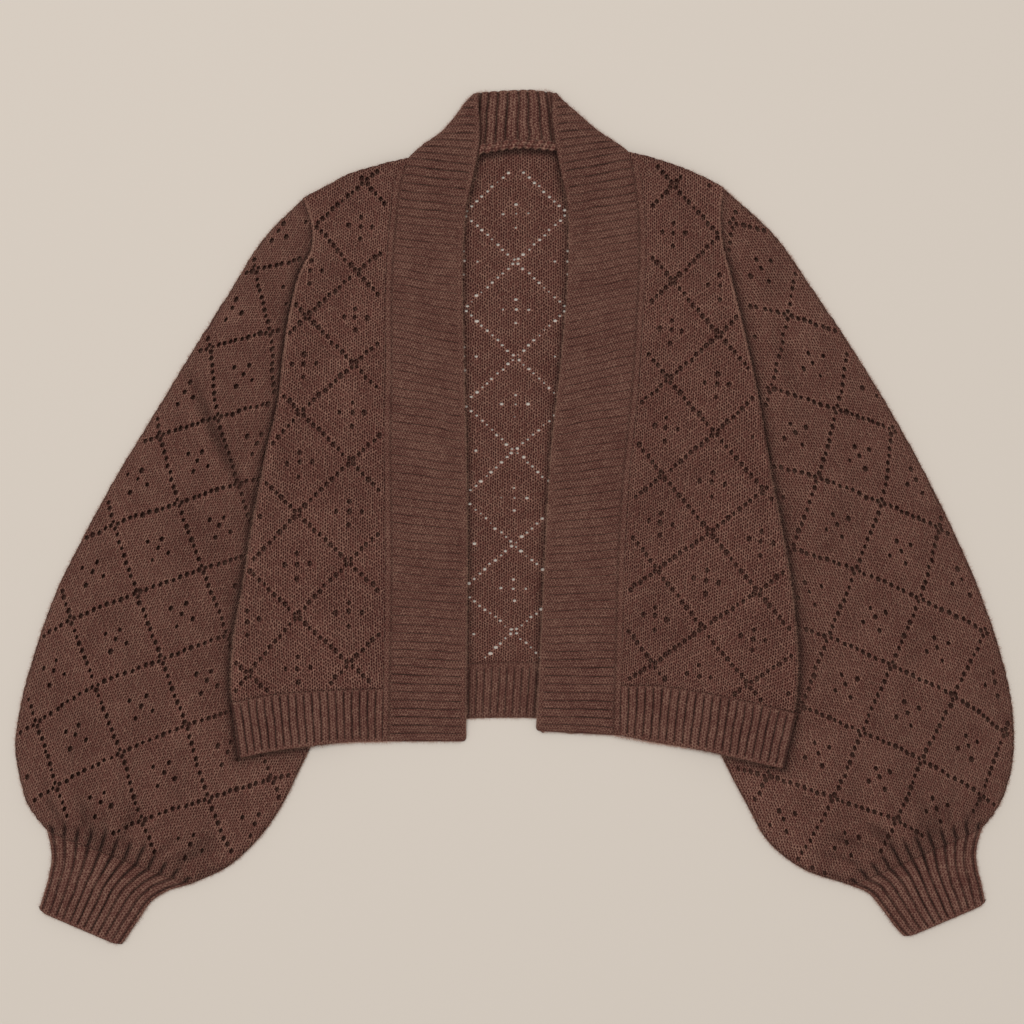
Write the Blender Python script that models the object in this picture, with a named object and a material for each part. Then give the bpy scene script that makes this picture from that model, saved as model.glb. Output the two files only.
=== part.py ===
"""An open knitted cardigan with a shawl collar, laid flat with its front up.

Right and left are the wearer's, so the right side lies at -X. +Y runs from the hem to the collar, and the back
lies on the surface at Z = 0. Sizes are in millimetres here and become metres where a mesh is made.

The layers, from the surface up: the sleeves, the back with its hem and the back of the collar, then the fronts
with their hems and bands. The body lies on the inner part of each sleeve, so it is lifted there.
"""

import bmesh
import bpy
import numpy as np

MM = 0.001

# The cloth.
PANEL_WALL = 2.0  # wall of the eyelet knit
RIB_WALL = 2.0  # wall of the ribbing, at its grooves
RIB_RISE = 0.8  # a rib's ridge above its grooves
RIB_PITCH = 6.5  # from one rib to the next
SEAM = 0.5  # air between two pieces at a seam
LAYER_AIR = 0.8  # air between two layers that lie on each other

# The flattened sleeves.
SLEEVE_HOLLOW = 0.8  # air inside a sleeve that is pressed flat
SLEEVE_FLAT = 2 * PANEL_WALL + SLEEVE_HOLLOW
SLEEVE_PUFF = 3.0  # how much a sleeve swells where nothing lies on it
PUFF_REACH = 42.0  # from the body's edge to the full swell
PUFF_SHOULDER = 24.0  # from a sleeve's fold to the full swell
GATHERS = 10  # across the front of a sleeve, above its cuff
GATHER_RISE = 1.2
GATHER_START = 9.6  # the sleeve row where the gathers begin to rise
CREASE_DEPTH = 1.3
CREASE_HALF_WIDTH = 17.0

# How the body's layers lie.
BODY_LIFT = SLEEVE_FLAT + LAYER_AIR  # the body's underside, where a sleeve lies under it
LIFT_RAMP = 45.0
LIFT_LEAD = 3.0  # the body is fully lifted this far before it reaches the sleeve's hidden fold
SECOND_LAYER = RIB_WALL + RIB_RISE + LAYER_AIR  # underside of the fronts and bands, on the back
DROOP = 12.0  # where a front passes the back's hem, it comes down to the surface over this length
DROOPED = 0.3
NECK_RISE = 2.4  # the bands rise this much to pass over the neck seam
TURN_DROP = 2.0  # and come down again towards the edge where the collar turns over
TURN_REACH = 10.0

# The seam roll along the back of the neck.
ROLL_HALF_WIDTH = 2.9
ROLL_HALF_HEIGHT = 2.4
NECK_MARGIN = ROLL_HALF_WIDTH + 2 * SEAM  # from the roll's middle to the back and to the collar

# Each row is a place on one side of the cardigan: how far out from the middle, then how far up.
# The tables run from the hem to the shoulder or the collar, but for the sleeves and cuffs, which run down.
SIDES = {
    "right": {
        "sign": -1,
        "edge": [
            (235, -205), (240, -165), (242, -148), (241, -114), (232, -58), (221, 9), (211, 56),
            (201, 99), (197, 136), (191, 175), (181, 211), (173, 226), (173, 248), (180, 270),
        ],
        "shoulder": [(90, 304), (119, 297), (142, 290), (161, 280), (180, 270)],
        "band_seam": [
            (108, -192), (106, -114), (105, -29), (106, 56), (105, 141), (105, 192), (101, 252),
            (96, 287), (90, 304), (79, 315), (61, 328), (50, 341), (40, 354), (35, 359),
        ],
        "band_free": [
            (41, -192), (41, -139), (40, -37), (41, 56), (43, 133), (44, 201), (41, 260),
            (36, 282), (31, 306), (29, 323), (30, 345), (31, 359),
        ],
        "hem_top": [(107, -147), (157, -148), (199, -151), (241, -158)],
        "hem_foot": [(108, -192), (150, -193), (177, -196), (208, -200), (235, -205)],
        "sleeve_outer": [
            (180, 270), (211, 239), (244, 188), (276, 137), (307, 86), (338, 35), (366, -16),
            (391, -67), (409, -118), (421, -165), (425, -195), (421, -223), (414, -246),
            (406, -258), (398, -267),
        ],
        "sleeve_inner": [
            (211, 56), (213, 49), (213, 41), (205, 23), (189, -10), (175, -51), (168, -83),
            (164, -117), (163, -152), (168, -189), (182, -218), (199, -248), (221, -278),
            (245, -299), (275, -313),
        ],
        "cuff_outer": [(398, -267), (395, -280), (394, -291), (396, -305), (400, -320), (404, -333)],
        "cuff_inner": [(275, -313), (297, -320), (310, -329), (317, -339), (325, -351), (334, -364)],
        "crease": [(272, 104), (264, 88), (242, 48), (225, 17), (220, -6)],
    },
    "left": {
        "sign": 1,
        "edge": [
            (229, -214), (240, -161), (242, -122), (239, -80), (233, -37), (224, 11), (215, 56),
            (208, 99), (201, 133), (193, 168), (184, 205), (177, 235), (176, 258), (178, 279),
        ],
        "shoulder": [(97, 309), (121, 303), (157, 290), (178, 279)],
        "band_seam": [
            (85, -188), (87, -114), (89, -37), (93, 31), (100, 99), (105, 175), (107, 226),
            (105, 269), (102, 290), (97, 309), (86, 318), (71, 328), (56, 341), (41, 354), (36, 359),
        ],
        "band_free": [
            (19, -183), (18, -156), (22, -93), (27, -12), (32, 65), (39, 126), (44, 184),
            (46, 226), (44, 269), (40, 287), (35, 314), (32, 337), (32, 359),
        ],
        "hem_top": [(86, -144), (124, -145), (158, -150), (200, -158), (240, -167)],
        "hem_foot": [(85, -188), (119, -192), (153, -197), (178, -203), (204, -209), (229, -214)],
        "sleeve_outer": [
            (178, 279), (221, 239), (257, 188), (291, 137), (322, 86), (350, 35), (375, -16),
            (397, -67), (414, -118), (424, -167), (425, -195), (422, -220), (415, -241),
            (407, -255), (399, -264),
        ],
        "sleeve_inner": [
            (215, 56), (217, 49), (217, 41), (208, 22), (191, -12), (176, -54), (169, -87),
            (164, -121), (164, -156), (169, -192), (181, -218), (198, -246), (215, -276),
            (243, -299), (285, -314),
        ],
        "cuff_outer": [(399, -264), (395, -275), (393, -286), (394, -299), (397, -311), (401, -330)],
        "cuff_inner": [(285, -314), (301, -321), (311, -332), (319, -343), (326, -352), (333, -359)],
        "crease": [(216, 206), (222, 170), (232, 128), (240, 92), (246, 60)],
    },
}

# The back's own lines, from the wearer's right to the left: across, then up.
BACK_HEM_TOP = [(-241, -158), (-182, -146), (-114, -133), (-40, -126), (19, -125), (90, -133), (158, -146), (240, -167)]
BACK_HEM_FOOT = [(-235, -205), (-182, -191), (-114, -178), (-40, -171), (17, -170), (90, -178), (158, -193), (229, -214)]
NECK = [(-77, 305), (-63, 306), (-45, 307), (-26, 311), (3, 315), (34, 313), (55, 310), (73, 309), (83, 309)]
COLLAR_TOP = [(-35, 359), (-11, 362), (13, 363), (36, 359)]

# How finely each piece is divided. The back and the fronts have the same rows, so that their side edges agree.
BACK_ACROSS = (
    0, 0.03, 0.06, 0.09, 0.12, 0.155, 0.19, 0.23, 0.27, 0.32, 0.37, 0.42, 0.46,
    0.5, 0.54, 0.58, 0.63, 0.68, 0.73, 0.77, 0.81, 0.845, 0.88, 0.91, 0.94, 0.97, 1,
)
FRONT_ACROSS = (0, 0.13, 0.25, 0.36, 0.47, 0.58, 0.68, 0.78, 0.89, 1)
BODY_UP = 21
FRONT_HEM_UP = (0, 0.12, 0.24, 0.36, 0.48, 0.7, 1)
BAND_ACROSS = (0, 0.12, 0.5, 1)
BAND_UNDER_UP = (0, 0.01, 0.02, 0.03, 0.04, 0.055) + tuple(np.linspace(0.08, 1, 22))
SLEEVE_RINGS = (0, 0.6, 1.5, 2.6, 3.8, 5, 6.2, 7.4, 8.5, 9.5, 10.4, 11.2, 12, 12.7, 13.4, 14)
CUFF_RINGS = 7
CUFF_RIBS = 13

BROWN = (0.118, 0.066, 0.052, 1.0)
FINISHES = {"eyelet knit": 0.92, "rib knit": 0.88}  # roughness of each


def smoothstep(low, high, value):
    share = np.clip((value - low) / (high - low), 0.0, 1.0)
    return share * share * (3.0 - 2.0 * share)


def smooth(keys, values, at):
    """A cubic through the rows of a table, whose keys rise, read at any key between them."""
    keys = np.asarray(keys, float)
    values = np.asarray(values, float)
    slopes = np.gradient(values, keys, axis=0)
    at = min(max(at, keys[0]), keys[-1])
    row = min(int(np.searchsorted(keys, at, side="right")) - 1, len(keys) - 2)
    span = keys[row + 1] - keys[row]
    s = (at - keys[row]) / span
    from_row = (1 + 2 * s) * (1 - s) ** 2 * values[row] + s * (1 - s) ** 2 * span * slopes[row]
    to_next = s * s * (3 - 2 * s) * values[row + 1] - s * s * (1 - s) * span * slopes[row + 1]
    return from_row + to_next


class Line:
    """A smooth line through places set by hand, read by its share of the length."""

    def __init__(self, places):
        self.places = np.array(places, float)
        steps = np.linalg.norm(np.diff(self.places, axis=0), axis=1)
        self.shares = np.concatenate([[0.0], np.cumsum(steps)]) / steps.sum()
        self.length = steps.sum()

    def at(self, share):
        return smooth(self.shares, self.places, share)

    def moved(self, across, up):
        """A copy that is shifted, read by the same shares."""
        copy = type(self)(self.places + (across, up))
        copy.shares = self.shares
        return copy


class Chords(Line):
    """The same line read straight from one place to the next."""

    def at(self, share):
        return np.array([np.interp(share, self.shares, self.places[:, axis]) for axis in (0, 1)])


def chords(line, shares):
    """A line as a piece with edges at these shares has it. Pieces that meet at a seam share it."""
    knots = Chords([line.at(share) for share in shares])
    knots.shares = np.array(shares, float)
    return knots


def out_at(rows, up):
    """How far out a side's line is at a height, for a line that only rises or only falls."""
    rows = np.array(rows if rows[0][1] < rows[-1][1] else rows[::-1], float)
    return float(smooth(rows[:, 1], rows[:, 0], up))


def up_at(rows, across):
    rows = np.array(rows, float)
    return float(smooth(rows[:, 0], rows[:, 1], across))


def side_of(x):
    return SIDES["left" if x > 0 else "right"]


def edge_line(side, low, high):
    """The body's side edge between two heights, straight from row to row."""
    heights = np.linspace(low, high, BODY_UP)
    return Chords([(out_at(side["edge"], up), up) for up in heights])


def armhole_out(side, up):
    """How far out the body's edge is, as the panels have it."""
    edge = edge_line(side, side["hem_top"][-1][1], side["shoulder"][-1][1])
    return float(np.interp(up, edge.places[:, 1], edge.places[:, 0]))


def front_seam(side):
    """Where a front meets its band."""
    top_up = side["shoulder"][0][1]
    rows = [row for row in side["band_seam"] if side["hem_top"][0][1] < row[1] <= top_up]
    return chords(Line([side["hem_top"][0]] + rows), even(BODY_UP))


def body_lift(x, y):
    """Underside of the body's lowest layer, which climbs onto the sleeve that lies under its side."""
    side = side_of(x)
    underarm = side["sleeve_inner"][0][1]
    hidden_fold = out_at(side["sleeve_inner"], y) if y < underarm else out_at(side["edge"], y)
    up_share = 1.0 - smoothstep(underarm + 10, underarm + 160, y)
    return BODY_LIFT * up_share * (1.0 - smoothstep(0, LIFT_RAMP, hidden_fold - LIFT_LEAD - abs(x)))


def front_under(x, y):
    """Underside of what lies on the back: the fronts, their hems and the bands."""
    foot = up_at(BACK_HEM_FOOT, x) - 1.0
    on_back = smoothstep(foot - DROOP, foot, y)
    over_neck = NECK_RISE * smoothstep(240, 290, y) * (1.0 - smoothstep(100, 160, abs(x)))
    return body_lift(x, y) + DROOPED + (SECOND_LAYER - DROOPED) * on_back + over_neck


def band_under(x, y):
    """As the fronts', but the band's edge comes down where the collar turns over at the side of the neck."""
    from_turn = out_at(side_of(x)["band_seam"], y) - abs(x)
    turning = smoothstep(312, 326, y) * (1.0 - smoothstep(0, TURN_REACH, from_turn))
    return front_under(x, y) - TURN_DROP * turning


def patch(foot, top, start, end):
    """The place at (u, v) of a panel between four lines: foot and top run along u, start and end along v."""

    def place(u, v):
        corners = (
            (1 - u) * (1 - v) * foot.at(0) + u * (1 - v) * foot.at(1) + (1 - u) * v * top.at(0) + u * v * top.at(1)
        )
        return (1 - v) * foot.at(u) + v * top.at(u) + (1 - u) * start.at(v) + u * end.at(v) - corners

    return place


def mirrored(place, sign):
    return lambda u, v: place(u, v) * (sign, 1)


def zip_rows(mesh, first, second, first_keys, second_keys):
    """Triangles between two rows of vertices, however many each has, matched by their rising keys."""
    i = j = 0
    while i < len(first) - 1 or j < len(second) - 1:
        first_next = first_keys[i + 1] if i < len(first) - 1 else np.inf
        second_next = second_keys[j + 1] if j < len(second) - 1 else np.inf
        if first_next <= second_next:
            corners = (first[i], first[i + 1], second[j])
            i += 1
        else:
            corners = (first[i], second[j + 1], second[j])
            j += 1
        if len(set(corners)) == 3:
            mesh.faces.new(corners)


def fill_grid(mesh, rows):
    for low, high in zip(rows, rows[1:]):
        for i in range(len(low) - 1):
            mesh.faces.new((low[i], low[i + 1], high[i + 1], high[i]))


def finished(name, mesh, finish):
    """Makes the object of a closed mesh, with its faces pointing out, and gives it its cloth."""
    bmesh.ops.recalc_face_normals(mesh, faces=mesh.faces)
    data = bpy.data.meshes.new(name)
    mesh.to_mesh(data)
    mesh.free()
    piece = bpy.data.objects.new(name, data)
    bpy.context.collection.objects.link(piece)
    data.materials.append(bpy.data.materials[finish])
    data.shade_smooth()
    data.set_sharp_from_angle(angle=np.radians(40))
    return piece


def slab(name, finish, place, top_grid, under_grid, top_height, under_height):
    """A sheet of cloth. Each grid is (shares across, shares up), and the two sides of the wall may differ."""
    mesh = bmesh.new()

    def side(grid, height):
        rows = []
        for j, v in enumerate(grid[1]):
            row = []
            for i, u in enumerate(grid[0]):
                x, y = place(u, v)
                row.append(mesh.verts.new((x * MM, y * MM, height(x, y, i, j) * MM)))
            rows.append(row)
        fill_grid(mesh, rows)
        return rows

    top = side(top_grid, top_height)
    under = side(under_grid, under_height)
    for row in (0, -1):
        zip_rows(mesh, top[row], under[row], top_grid[0], under_grid[0])
    for column in (0, -1):
        zip_rows(mesh, [r[column] for r in top], [r[column] for r in under], top_grid[1], under_grid[1])
    return finished(name, mesh, finish)


def tube(name, finish, outer_rings, inner_rings, outer_keys, inner_keys):
    """A flattened tube with open ends. Keys say how far round each point of a ring is, from 0 to 1."""
    mesh = bmesh.new()
    surfaces = []
    for rings in (outer_rings, inner_rings):
        rows = [[mesh.verts.new(np.array(p) * MM) for p in ring] for ring in rings]
        fill_grid(mesh, [row + row[:1] for row in rows])
        surfaces.append(rows)
    for end in (0, -1):
        outer, inner = surfaces[0][end], surfaces[1][end]
        ring_keys = [list(keys) + [1 + keys[0]] for keys in (outer_keys, inner_keys)]
        zip_rows(mesh, outer + outer[:1], inner + inner[:1], *ring_keys)
    return finished(name, mesh, finish)


def rib_shares(count, points):
    """Places across a run of ribs, and which of them are ridges: 3 points a rib make a flat ridge, 2 a round one."""
    shares = [0.0]
    ridges = [False]
    for rib in range(count):
        for point in range(1, points):
            shares.append((rib + (0.3 + 0.4 * (point - 1) if points == 3 else 0.5)) / count)
            ridges.append(True)
        shares.append((rib + 1) / count)
        ridges.append(False)
    return tuple(shares), ridges


def even(count):
    return tuple(np.linspace(0, 1, count))


def make_back():
    right, left = SIDES["right"], SIDES["left"]
    neck = [(x, y - NECK_MARGIN) for x, y in NECK]
    shoulders = [(-x, y) for x, y in right["shoulder"][::-1]] + neck + left["shoulder"]
    start = edge_line(right, BACK_HEM_TOP[0][1], right["shoulder"][-1][1])
    start.places[:, 0] *= -1
    end = edge_line(left, BACK_HEM_TOP[-1][1], left["shoulder"][-1][1])
    place = patch(Line(BACK_HEM_TOP), Line(shoulders), start, end)
    grid = (BACK_ACROSS, even(BODY_UP))
    slab(
        "back_panel", "eyelet knit", place, grid, grid,
        lambda x, y, i, j: body_lift(x, y) + PANEL_WALL,
        lambda x, y, i, j: body_lift(x, y),
    )


def make_back_hem():
    right, left = SIDES["right"], SIDES["left"]
    start = edge_line(right, BACK_HEM_FOOT[0][1], BACK_HEM_TOP[0][1])
    start.places[:, 0] *= -1
    end = edge_line(left, BACK_HEM_FOOT[-1][1], BACK_HEM_TOP[-1][1])
    place = patch(Line(BACK_HEM_FOOT), chords(Line(BACK_HEM_TOP), BACK_ACROSS).moved(0, -SEAM), start, end)
    shares, ridges = rib_shares(round(Line(BACK_HEM_TOP).length / RIB_PITCH), 2)
    slab(
        "hem_back", "rib knit", place, (shares, even(3)), (BACK_ACROSS, even(3)),
        lambda x, y, i, j: body_lift(x, y) + RIB_WALL + RIB_RISE * ridges[i],
        lambda x, y, i, j: body_lift(x, y),
    )


def make_front(name, side):
    edge = edge_line(side, side["hem_top"][-1][1], side["shoulder"][-1][1])
    place = patch(Line(side["hem_top"]), Line(side["shoulder"]), front_seam(side), edge)
    grid = (FRONT_ACROSS, even(BODY_UP))
    slab(
        "front_panel_" + name, "eyelet knit", mirrored(place, side["sign"]), grid, grid,
        lambda x, y, i, j: front_under(x, y) + PANEL_WALL,
        lambda x, y, i, j: front_under(x, y),
    )


def make_front_hem(name, side):
    foot = Line(side["hem_foot"])
    top = chords(Line(side["hem_top"]), FRONT_ACROSS).moved(0, -SEAM)
    start = Line([side["hem_foot"][0], side["hem_top"][0]]).moved(0, -SEAM)
    edge = edge_line(side, side["hem_foot"][-1][1], side["hem_top"][-1][1])
    shares, ridges = rib_shares(round(top.length / RIB_PITCH), 3)
    slab(
        "hem_front_" + name, "rib knit", mirrored(patch(foot, top, start, edge), side["sign"]),
        (shares, FRONT_HEM_UP), (FRONT_ACROSS, FRONT_HEM_UP),
        lambda x, y, i, j: front_under(x, y) + RIB_WALL + RIB_RISE * ridges[i],
        lambda x, y, i, j: front_under(x, y),
    )


def make_band(name, side):
    """The ribbed band, from the hem to the top of the collar, where its seam side becomes the turned edge."""
    knots = list(front_seam(side).places)
    turned = Line([row for row in side["band_seam"] if row[1] >= side["shoulder"][0][1]])
    turned_places = [turned.at(share) for share in even(13)[1:]]
    seam = Chords([side["hem_foot"][0]] + knots + turned_places).moved(-SEAM, 0)
    free = Line(side["band_free"])
    foot = Line([seam.at(0), free.at(0)])
    top = Line([seam.at(1), free.at(1)])
    shares, ridges = rib_shares(round(free.length / RIB_PITCH), 2)
    slab(
        "front_band_" + name, "rib knit", mirrored(patch(foot, top, seam, free), side["sign"]),
        (BAND_ACROSS, shares), (BAND_ACROSS, BAND_UNDER_UP),
        lambda x, y, i, j: band_under(x, y) + RIB_WALL + RIB_RISE * ridges[j],
        lambda x, y, i, j: band_under(x, y),
    )


def make_back_collar():
    turned = {}
    for name, side in SIDES.items():
        shoulder_up = side["shoulder"][0][1]
        turned[name] = [(side["sign"] * x, y) for x, y in side["band_seam"] if y > shoulder_up]
    neck = [turned["right"][0]] + [(x, y + NECK_MARGIN + SEAM) for x, y in NECK] + [turned["left"][0]]
    top = [turned["right"][-1]] + COLLAR_TOP[1:-1] + [turned["left"][-1]]
    place = patch(Line(neck), Line(top), Line(turned["right"]), Line(turned["left"]))
    shares, ridges = rib_shares(24, 2)
    slab(
        "collar_back", "rib knit", place, (shares, even(4)), (even(17), even(4)),
        lambda x, y, i, j: RIB_WALL + RIB_RISE * ridges[i],
        lambda x, y, i, j: 0.0,
    )


def make_neck_roll():
    """The raised seam that joins the collar to the back, closed at both ends."""
    line = Line(NECK)
    mesh = bmesh.new()
    rows = []
    for share in even(30):
        centre = line.at(share)
        ahead = line.at(min(share + 0.01, 1)) - line.at(max(share - 0.01, 0))
        across = np.array((-ahead[1], ahead[0])) / np.hypot(*ahead)
        row = []
        for angle in np.linspace(0, 2 * np.pi, 8, endpoint=False):
            place = centre + across * ROLL_HALF_WIDTH * np.cos(angle)
            height = ROLL_HALF_HEIGHT * (1 + np.sin(angle)) + 0.2
            row.append(mesh.verts.new((place[0] * MM, place[1] * MM, height * MM)))
        rows.append(row)
    fill_grid(mesh, [row + row[:1] for row in rows])
    mesh.faces.new(rows[0])
    mesh.faces.new(rows[-1])
    finished("neck_seam_roll", mesh, "rib knit")


def flattened(width, inset, half, top_shares, under_shares, top_rise):
    """Places round a flattened tube as (how far across, height), and their keys.

    It starts at one fold, crosses the top to the other and comes back underneath. The inset is how far inside
    the tube's outline this surface lies, and half is half its thickness where it is pressed flat.
    """
    middle = SLEEVE_FLAT / 2
    corner = [(inset, 0.0), (inset + 0.3 * half, 0.7 * half), (inset + half, half)]
    top = [(across, middle + height) for across, height in corner]
    top += [(width * share, middle + half + top_rise(width * share, i)) for i, share in enumerate(top_shares)]
    top += [(width - across, middle + height) for across, height in corner[::-1]]
    under = [(width - across, middle - height) for across, height in corner[1:]]
    under += [(width * share, middle - half) for share in under_shares[::-1]]
    under += [(across, middle - height) for across, height in corner[:0:-1]]
    keys = [0.5 * across / width for across, _ in top] + [1 - 0.5 * across / width for across, _ in under]
    return top + under, keys


def from_crease(side, out, up):
    """How deep a place lies in a sleeve's long crease, from 0 to 1, dying away at both its ends."""
    line = Line(side["crease"])
    shares = np.linspace(0, 1, 25)
    gaps = [np.hypot(*(line.at(share) - (out, up))) for share in shares]
    nearest = int(np.argmin(gaps))
    return np.sin(np.pi * shares[nearest]) * (1.0 - smoothstep(0, CREASE_HALF_WIDTH, gaps[nearest]))


def sleeve_swell(side, out, up, across, width):
    """How far the top of a sleeve rises over its flat height."""
    foot = up_at([(x, y) for x, y in side["hem_foot"]], out)
    clear_of_body = max(out - out_at(side["edge"], up), foot - up)
    swell = SLEEVE_PUFF * smoothstep(2, PUFF_REACH, clear_of_body)
    swell *= smoothstep(0, PUFF_SHOULDER, across)
    swell *= smoothstep(0, PUFF_SHOULDER, width - across)
    return max(swell - CREASE_DEPTH * from_crease(side, out, up) * smoothstep(0, 20, clear_of_body), 0.0)


def make_sleeve(name, side):
    outer_rows = np.array(side["sleeve_outer"], float)
    inner_rows = np.array(side["sleeve_inner"], float)
    rows = np.arange(len(outer_rows))
    top_shares, ridges = rib_shares(GATHERS, 2)
    top_shares, ridges = top_shares[1:-1], ridges[1:-1]
    outer_rings, inner_rings = [], []
    for row in SLEEVE_RINGS:
        fold, inner_fold = smooth(rows, outer_rows, row), smooth(rows, inner_rows, row)
        width = np.hypot(*(inner_fold - fold))
        bow = max(1 - row / 3, 0) ** 2
        gather = GATHER_RISE * smoothstep(GATHER_START, rows[-1], row)

        def spot(across):
            share = across / width
            out, up = fold + (inner_fold - fold) * share
            chord_out, chord_up = outer_rows[0] + (inner_rows[0] - outer_rows[0]) * share
            return out + bow * (armhole_out(side, chord_up) + SEAM - chord_out), up

        def swell(across, i):
            return sleeve_swell(side, *spot(across), across, width)

        def gathered_swell(across, i):
            return swell(across, i) + gather * ridges[i]

        half = SLEEVE_FLAT / 2
        rings = (
            (outer_rings, 0.0, half, top_shares, even(11)[1:-1], gathered_swell),
            (inner_rings, PANEL_WALL, half - PANEL_WALL, even(11)[1:-1], even(11)[1:-1], swell),
        )
        for ring_list, inset, thickness, over, below, rise in rings:
            places, keys = flattened(width, inset, thickness, over, below, rise)
            ring = []
            for across, height in places:
                out, up = spot(across)
                ring.append((side["sign"] * out, up, height))
            ring_list.append(ring)
            if ring_list is outer_rings:
                outer_keys = keys
            else:
                inner_keys = keys
    tube("sleeve_" + name, "eyelet knit", outer_rings, inner_rings, outer_keys, inner_keys)


def make_cuff(name, side):
    outer, inner = Line(side["cuff_outer"]), Line(side["cuff_inner"])
    seam_share = SEAM / outer.length
    rib_places, ridges = rib_shares(CUFF_RIBS, 3)
    top_shares = [0.045 + 0.91 * share for share in rib_places]
    outer_rings, inner_rings = [], []
    for share in np.linspace(seam_share, 1, CUFF_RINGS):
        fold, inner_fold = outer.at(share), inner.at(share)
        width = np.hypot(*(inner_fold - fold))
        half = SLEEVE_FLAT / 2
        rings = (
            (outer_rings, 0.0, half, top_shares, even(4)[1:-1], lambda across, i: RIB_RISE * ridges[i]),
            (inner_rings, RIB_WALL, half - RIB_WALL, even(6)[1:-1], even(4)[1:-1], lambda across, i: 0.0),
        )
        for ring_list, inset, thickness, over, below, rise in rings:
            places, keys = flattened(width, inset, thickness, over, below, rise)
            ring = []
            for across, height in places:
                out, up = fold + (inner_fold - fold) * across / width
                ring.append((side["sign"] * out, up, height))
            ring_list.append(ring)
            if ring_list is outer_rings:
                outer_keys = keys
            else:
                inner_keys = keys
    tube("cuff_" + name, "rib knit", outer_rings, inner_rings, outer_keys, inner_keys)


def make_finish(name, roughness):
    material = bpy.data.materials.new(name)
    material.use_nodes = True
    shader = material.node_tree.nodes["Principled BSDF"]
    shader.inputs["Base Color"].default_value = BROWN
    shader.inputs["Roughness"].default_value = roughness
    shader.inputs["Metallic"].default_value = 0.0
    material.diffuse_color = BROWN


def centre_on_origin():
    """Puts the middle of the whole outline at the origin, with the underside left on the surface."""
    meshes = [piece.data for piece in bpy.data.objects if piece.type == "MESH"]
    corners = np.array([corner.co for mesh in meshes for corner in mesh.vertices])
    middle = (corners.min(axis=0) + corners.max(axis=0)) / 2
    for mesh in meshes:
        for corner in mesh.vertices:
            corner.co.x -= middle[0]
            corner.co.y -= middle[1]


def main():
    for item in list(bpy.data.objects):
        bpy.data.objects.remove(item, do_unlink=True)
    for name, roughness in FINISHES.items():
        make_finish(name, roughness)
    make_back()
    make_back_hem()
    make_back_collar()
    make_neck_roll()
    for name, side in SIDES.items():
        make_sleeve(name, side)
        make_cuff(name, side)
        make_front(name, side)
        make_front_hem(name, side)
        make_band(name, side)
    centre_on_origin()


main()
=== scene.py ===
# A cropped open cardigan with a shawl collar, laid flat with its front up and seen from straight above.
# Lengths are in millimetres until a mesh is made. Right and left are the wearer's, so the right side is at -x.

import bmesh
import bpy
import numpy as np
from mathutils.geometry import delaunay_2d_cdt
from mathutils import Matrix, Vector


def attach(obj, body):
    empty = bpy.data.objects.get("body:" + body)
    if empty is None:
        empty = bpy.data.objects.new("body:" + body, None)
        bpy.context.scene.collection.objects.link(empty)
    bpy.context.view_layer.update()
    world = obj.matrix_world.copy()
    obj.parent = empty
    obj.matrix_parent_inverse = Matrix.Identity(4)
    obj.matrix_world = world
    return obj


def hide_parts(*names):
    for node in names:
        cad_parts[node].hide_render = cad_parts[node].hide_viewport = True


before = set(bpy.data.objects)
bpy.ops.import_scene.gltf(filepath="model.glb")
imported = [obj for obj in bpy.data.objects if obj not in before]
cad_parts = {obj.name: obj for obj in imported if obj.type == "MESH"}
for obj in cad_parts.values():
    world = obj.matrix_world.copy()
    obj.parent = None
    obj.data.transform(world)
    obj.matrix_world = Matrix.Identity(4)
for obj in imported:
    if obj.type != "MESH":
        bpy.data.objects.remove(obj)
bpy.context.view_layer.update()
scene = bpy.context.scene
print("frame loaded")


view = {
    "lens": 70.0,
    "sensor": 36,
    "height": 1.697,  # metres above the floor
    "centre": (-0.0027, 0.0038),
    "floorHalf": 4,
    "floorDrop": 0.0002,  # metres under the cloth
    "floorFinish": {"Base Color": (0.66, 0.592, 0.522, 1), "Roughness": 0.95, "Specular IOR Level": 0.1},
    "sky": {"Color": (1.0, 0.99, 0.975, 1), "Strength": 0.50},
    "keyPlace": (-0.55, 0.85, 4.2),
    "keySize": 2.8,
    "keyPower": 105.0,
}


def aim(thing, target):
    direction = Vector(target) - thing.location
    thing.rotation_euler = direction.to_track_quat("-Z", "Y").to_euler()


def addObject(name, data):
    thing = bpy.data.objects.new(name, data)
    scene.collection.objects.link(thing)
    return thing


def setSockets(node, values):
    for key, value in values.items():
        node.inputs[key].default_value = value


def makeView():
    camera = addObject("camera", bpy.data.cameras.new("camera"))
    camera.data.lens = view["lens"]
    camera.data.sensor_width = view["sensor"]
    camera.location = (*view["centre"], view["height"])
    scene.camera = camera

    half, low = view["floorHalf"], -view["floorDrop"]
    floorMesh = bpy.data.meshes.new("floor")
    floorMesh.from_pydata(
        [(-half, -half, low), (half, -half, low), (half, half, low), (-half, half, low)], [], [(0, 1, 2, 3)])
    floor = addObject("floor", floorMesh)
    floorPaint = bpy.data.materials.new("paleFloor")
    floorPaint.use_nodes = True
    setSockets(floorPaint.node_tree.nodes["Principled BSDF"], view["floorFinish"])
    floorMesh.materials.append(floorPaint)

    sky = bpy.data.worlds.new("softSky")
    sky.use_nodes = True
    setSockets(sky.node_tree.nodes["Background"], view["sky"])
    scene.world = sky

    key = addObject("key", bpy.data.lights.new("key", "AREA"))
    key.data.shape = "DISK"
    key.data.size = view["keySize"]
    key.data.energy = view["keyPower"]
    key.location = view["keyPlace"]
    aim(key, (0, 0, 0))
    scene.view_settings.view_transform = "Standard"


makeView()
print("view ready")


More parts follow.
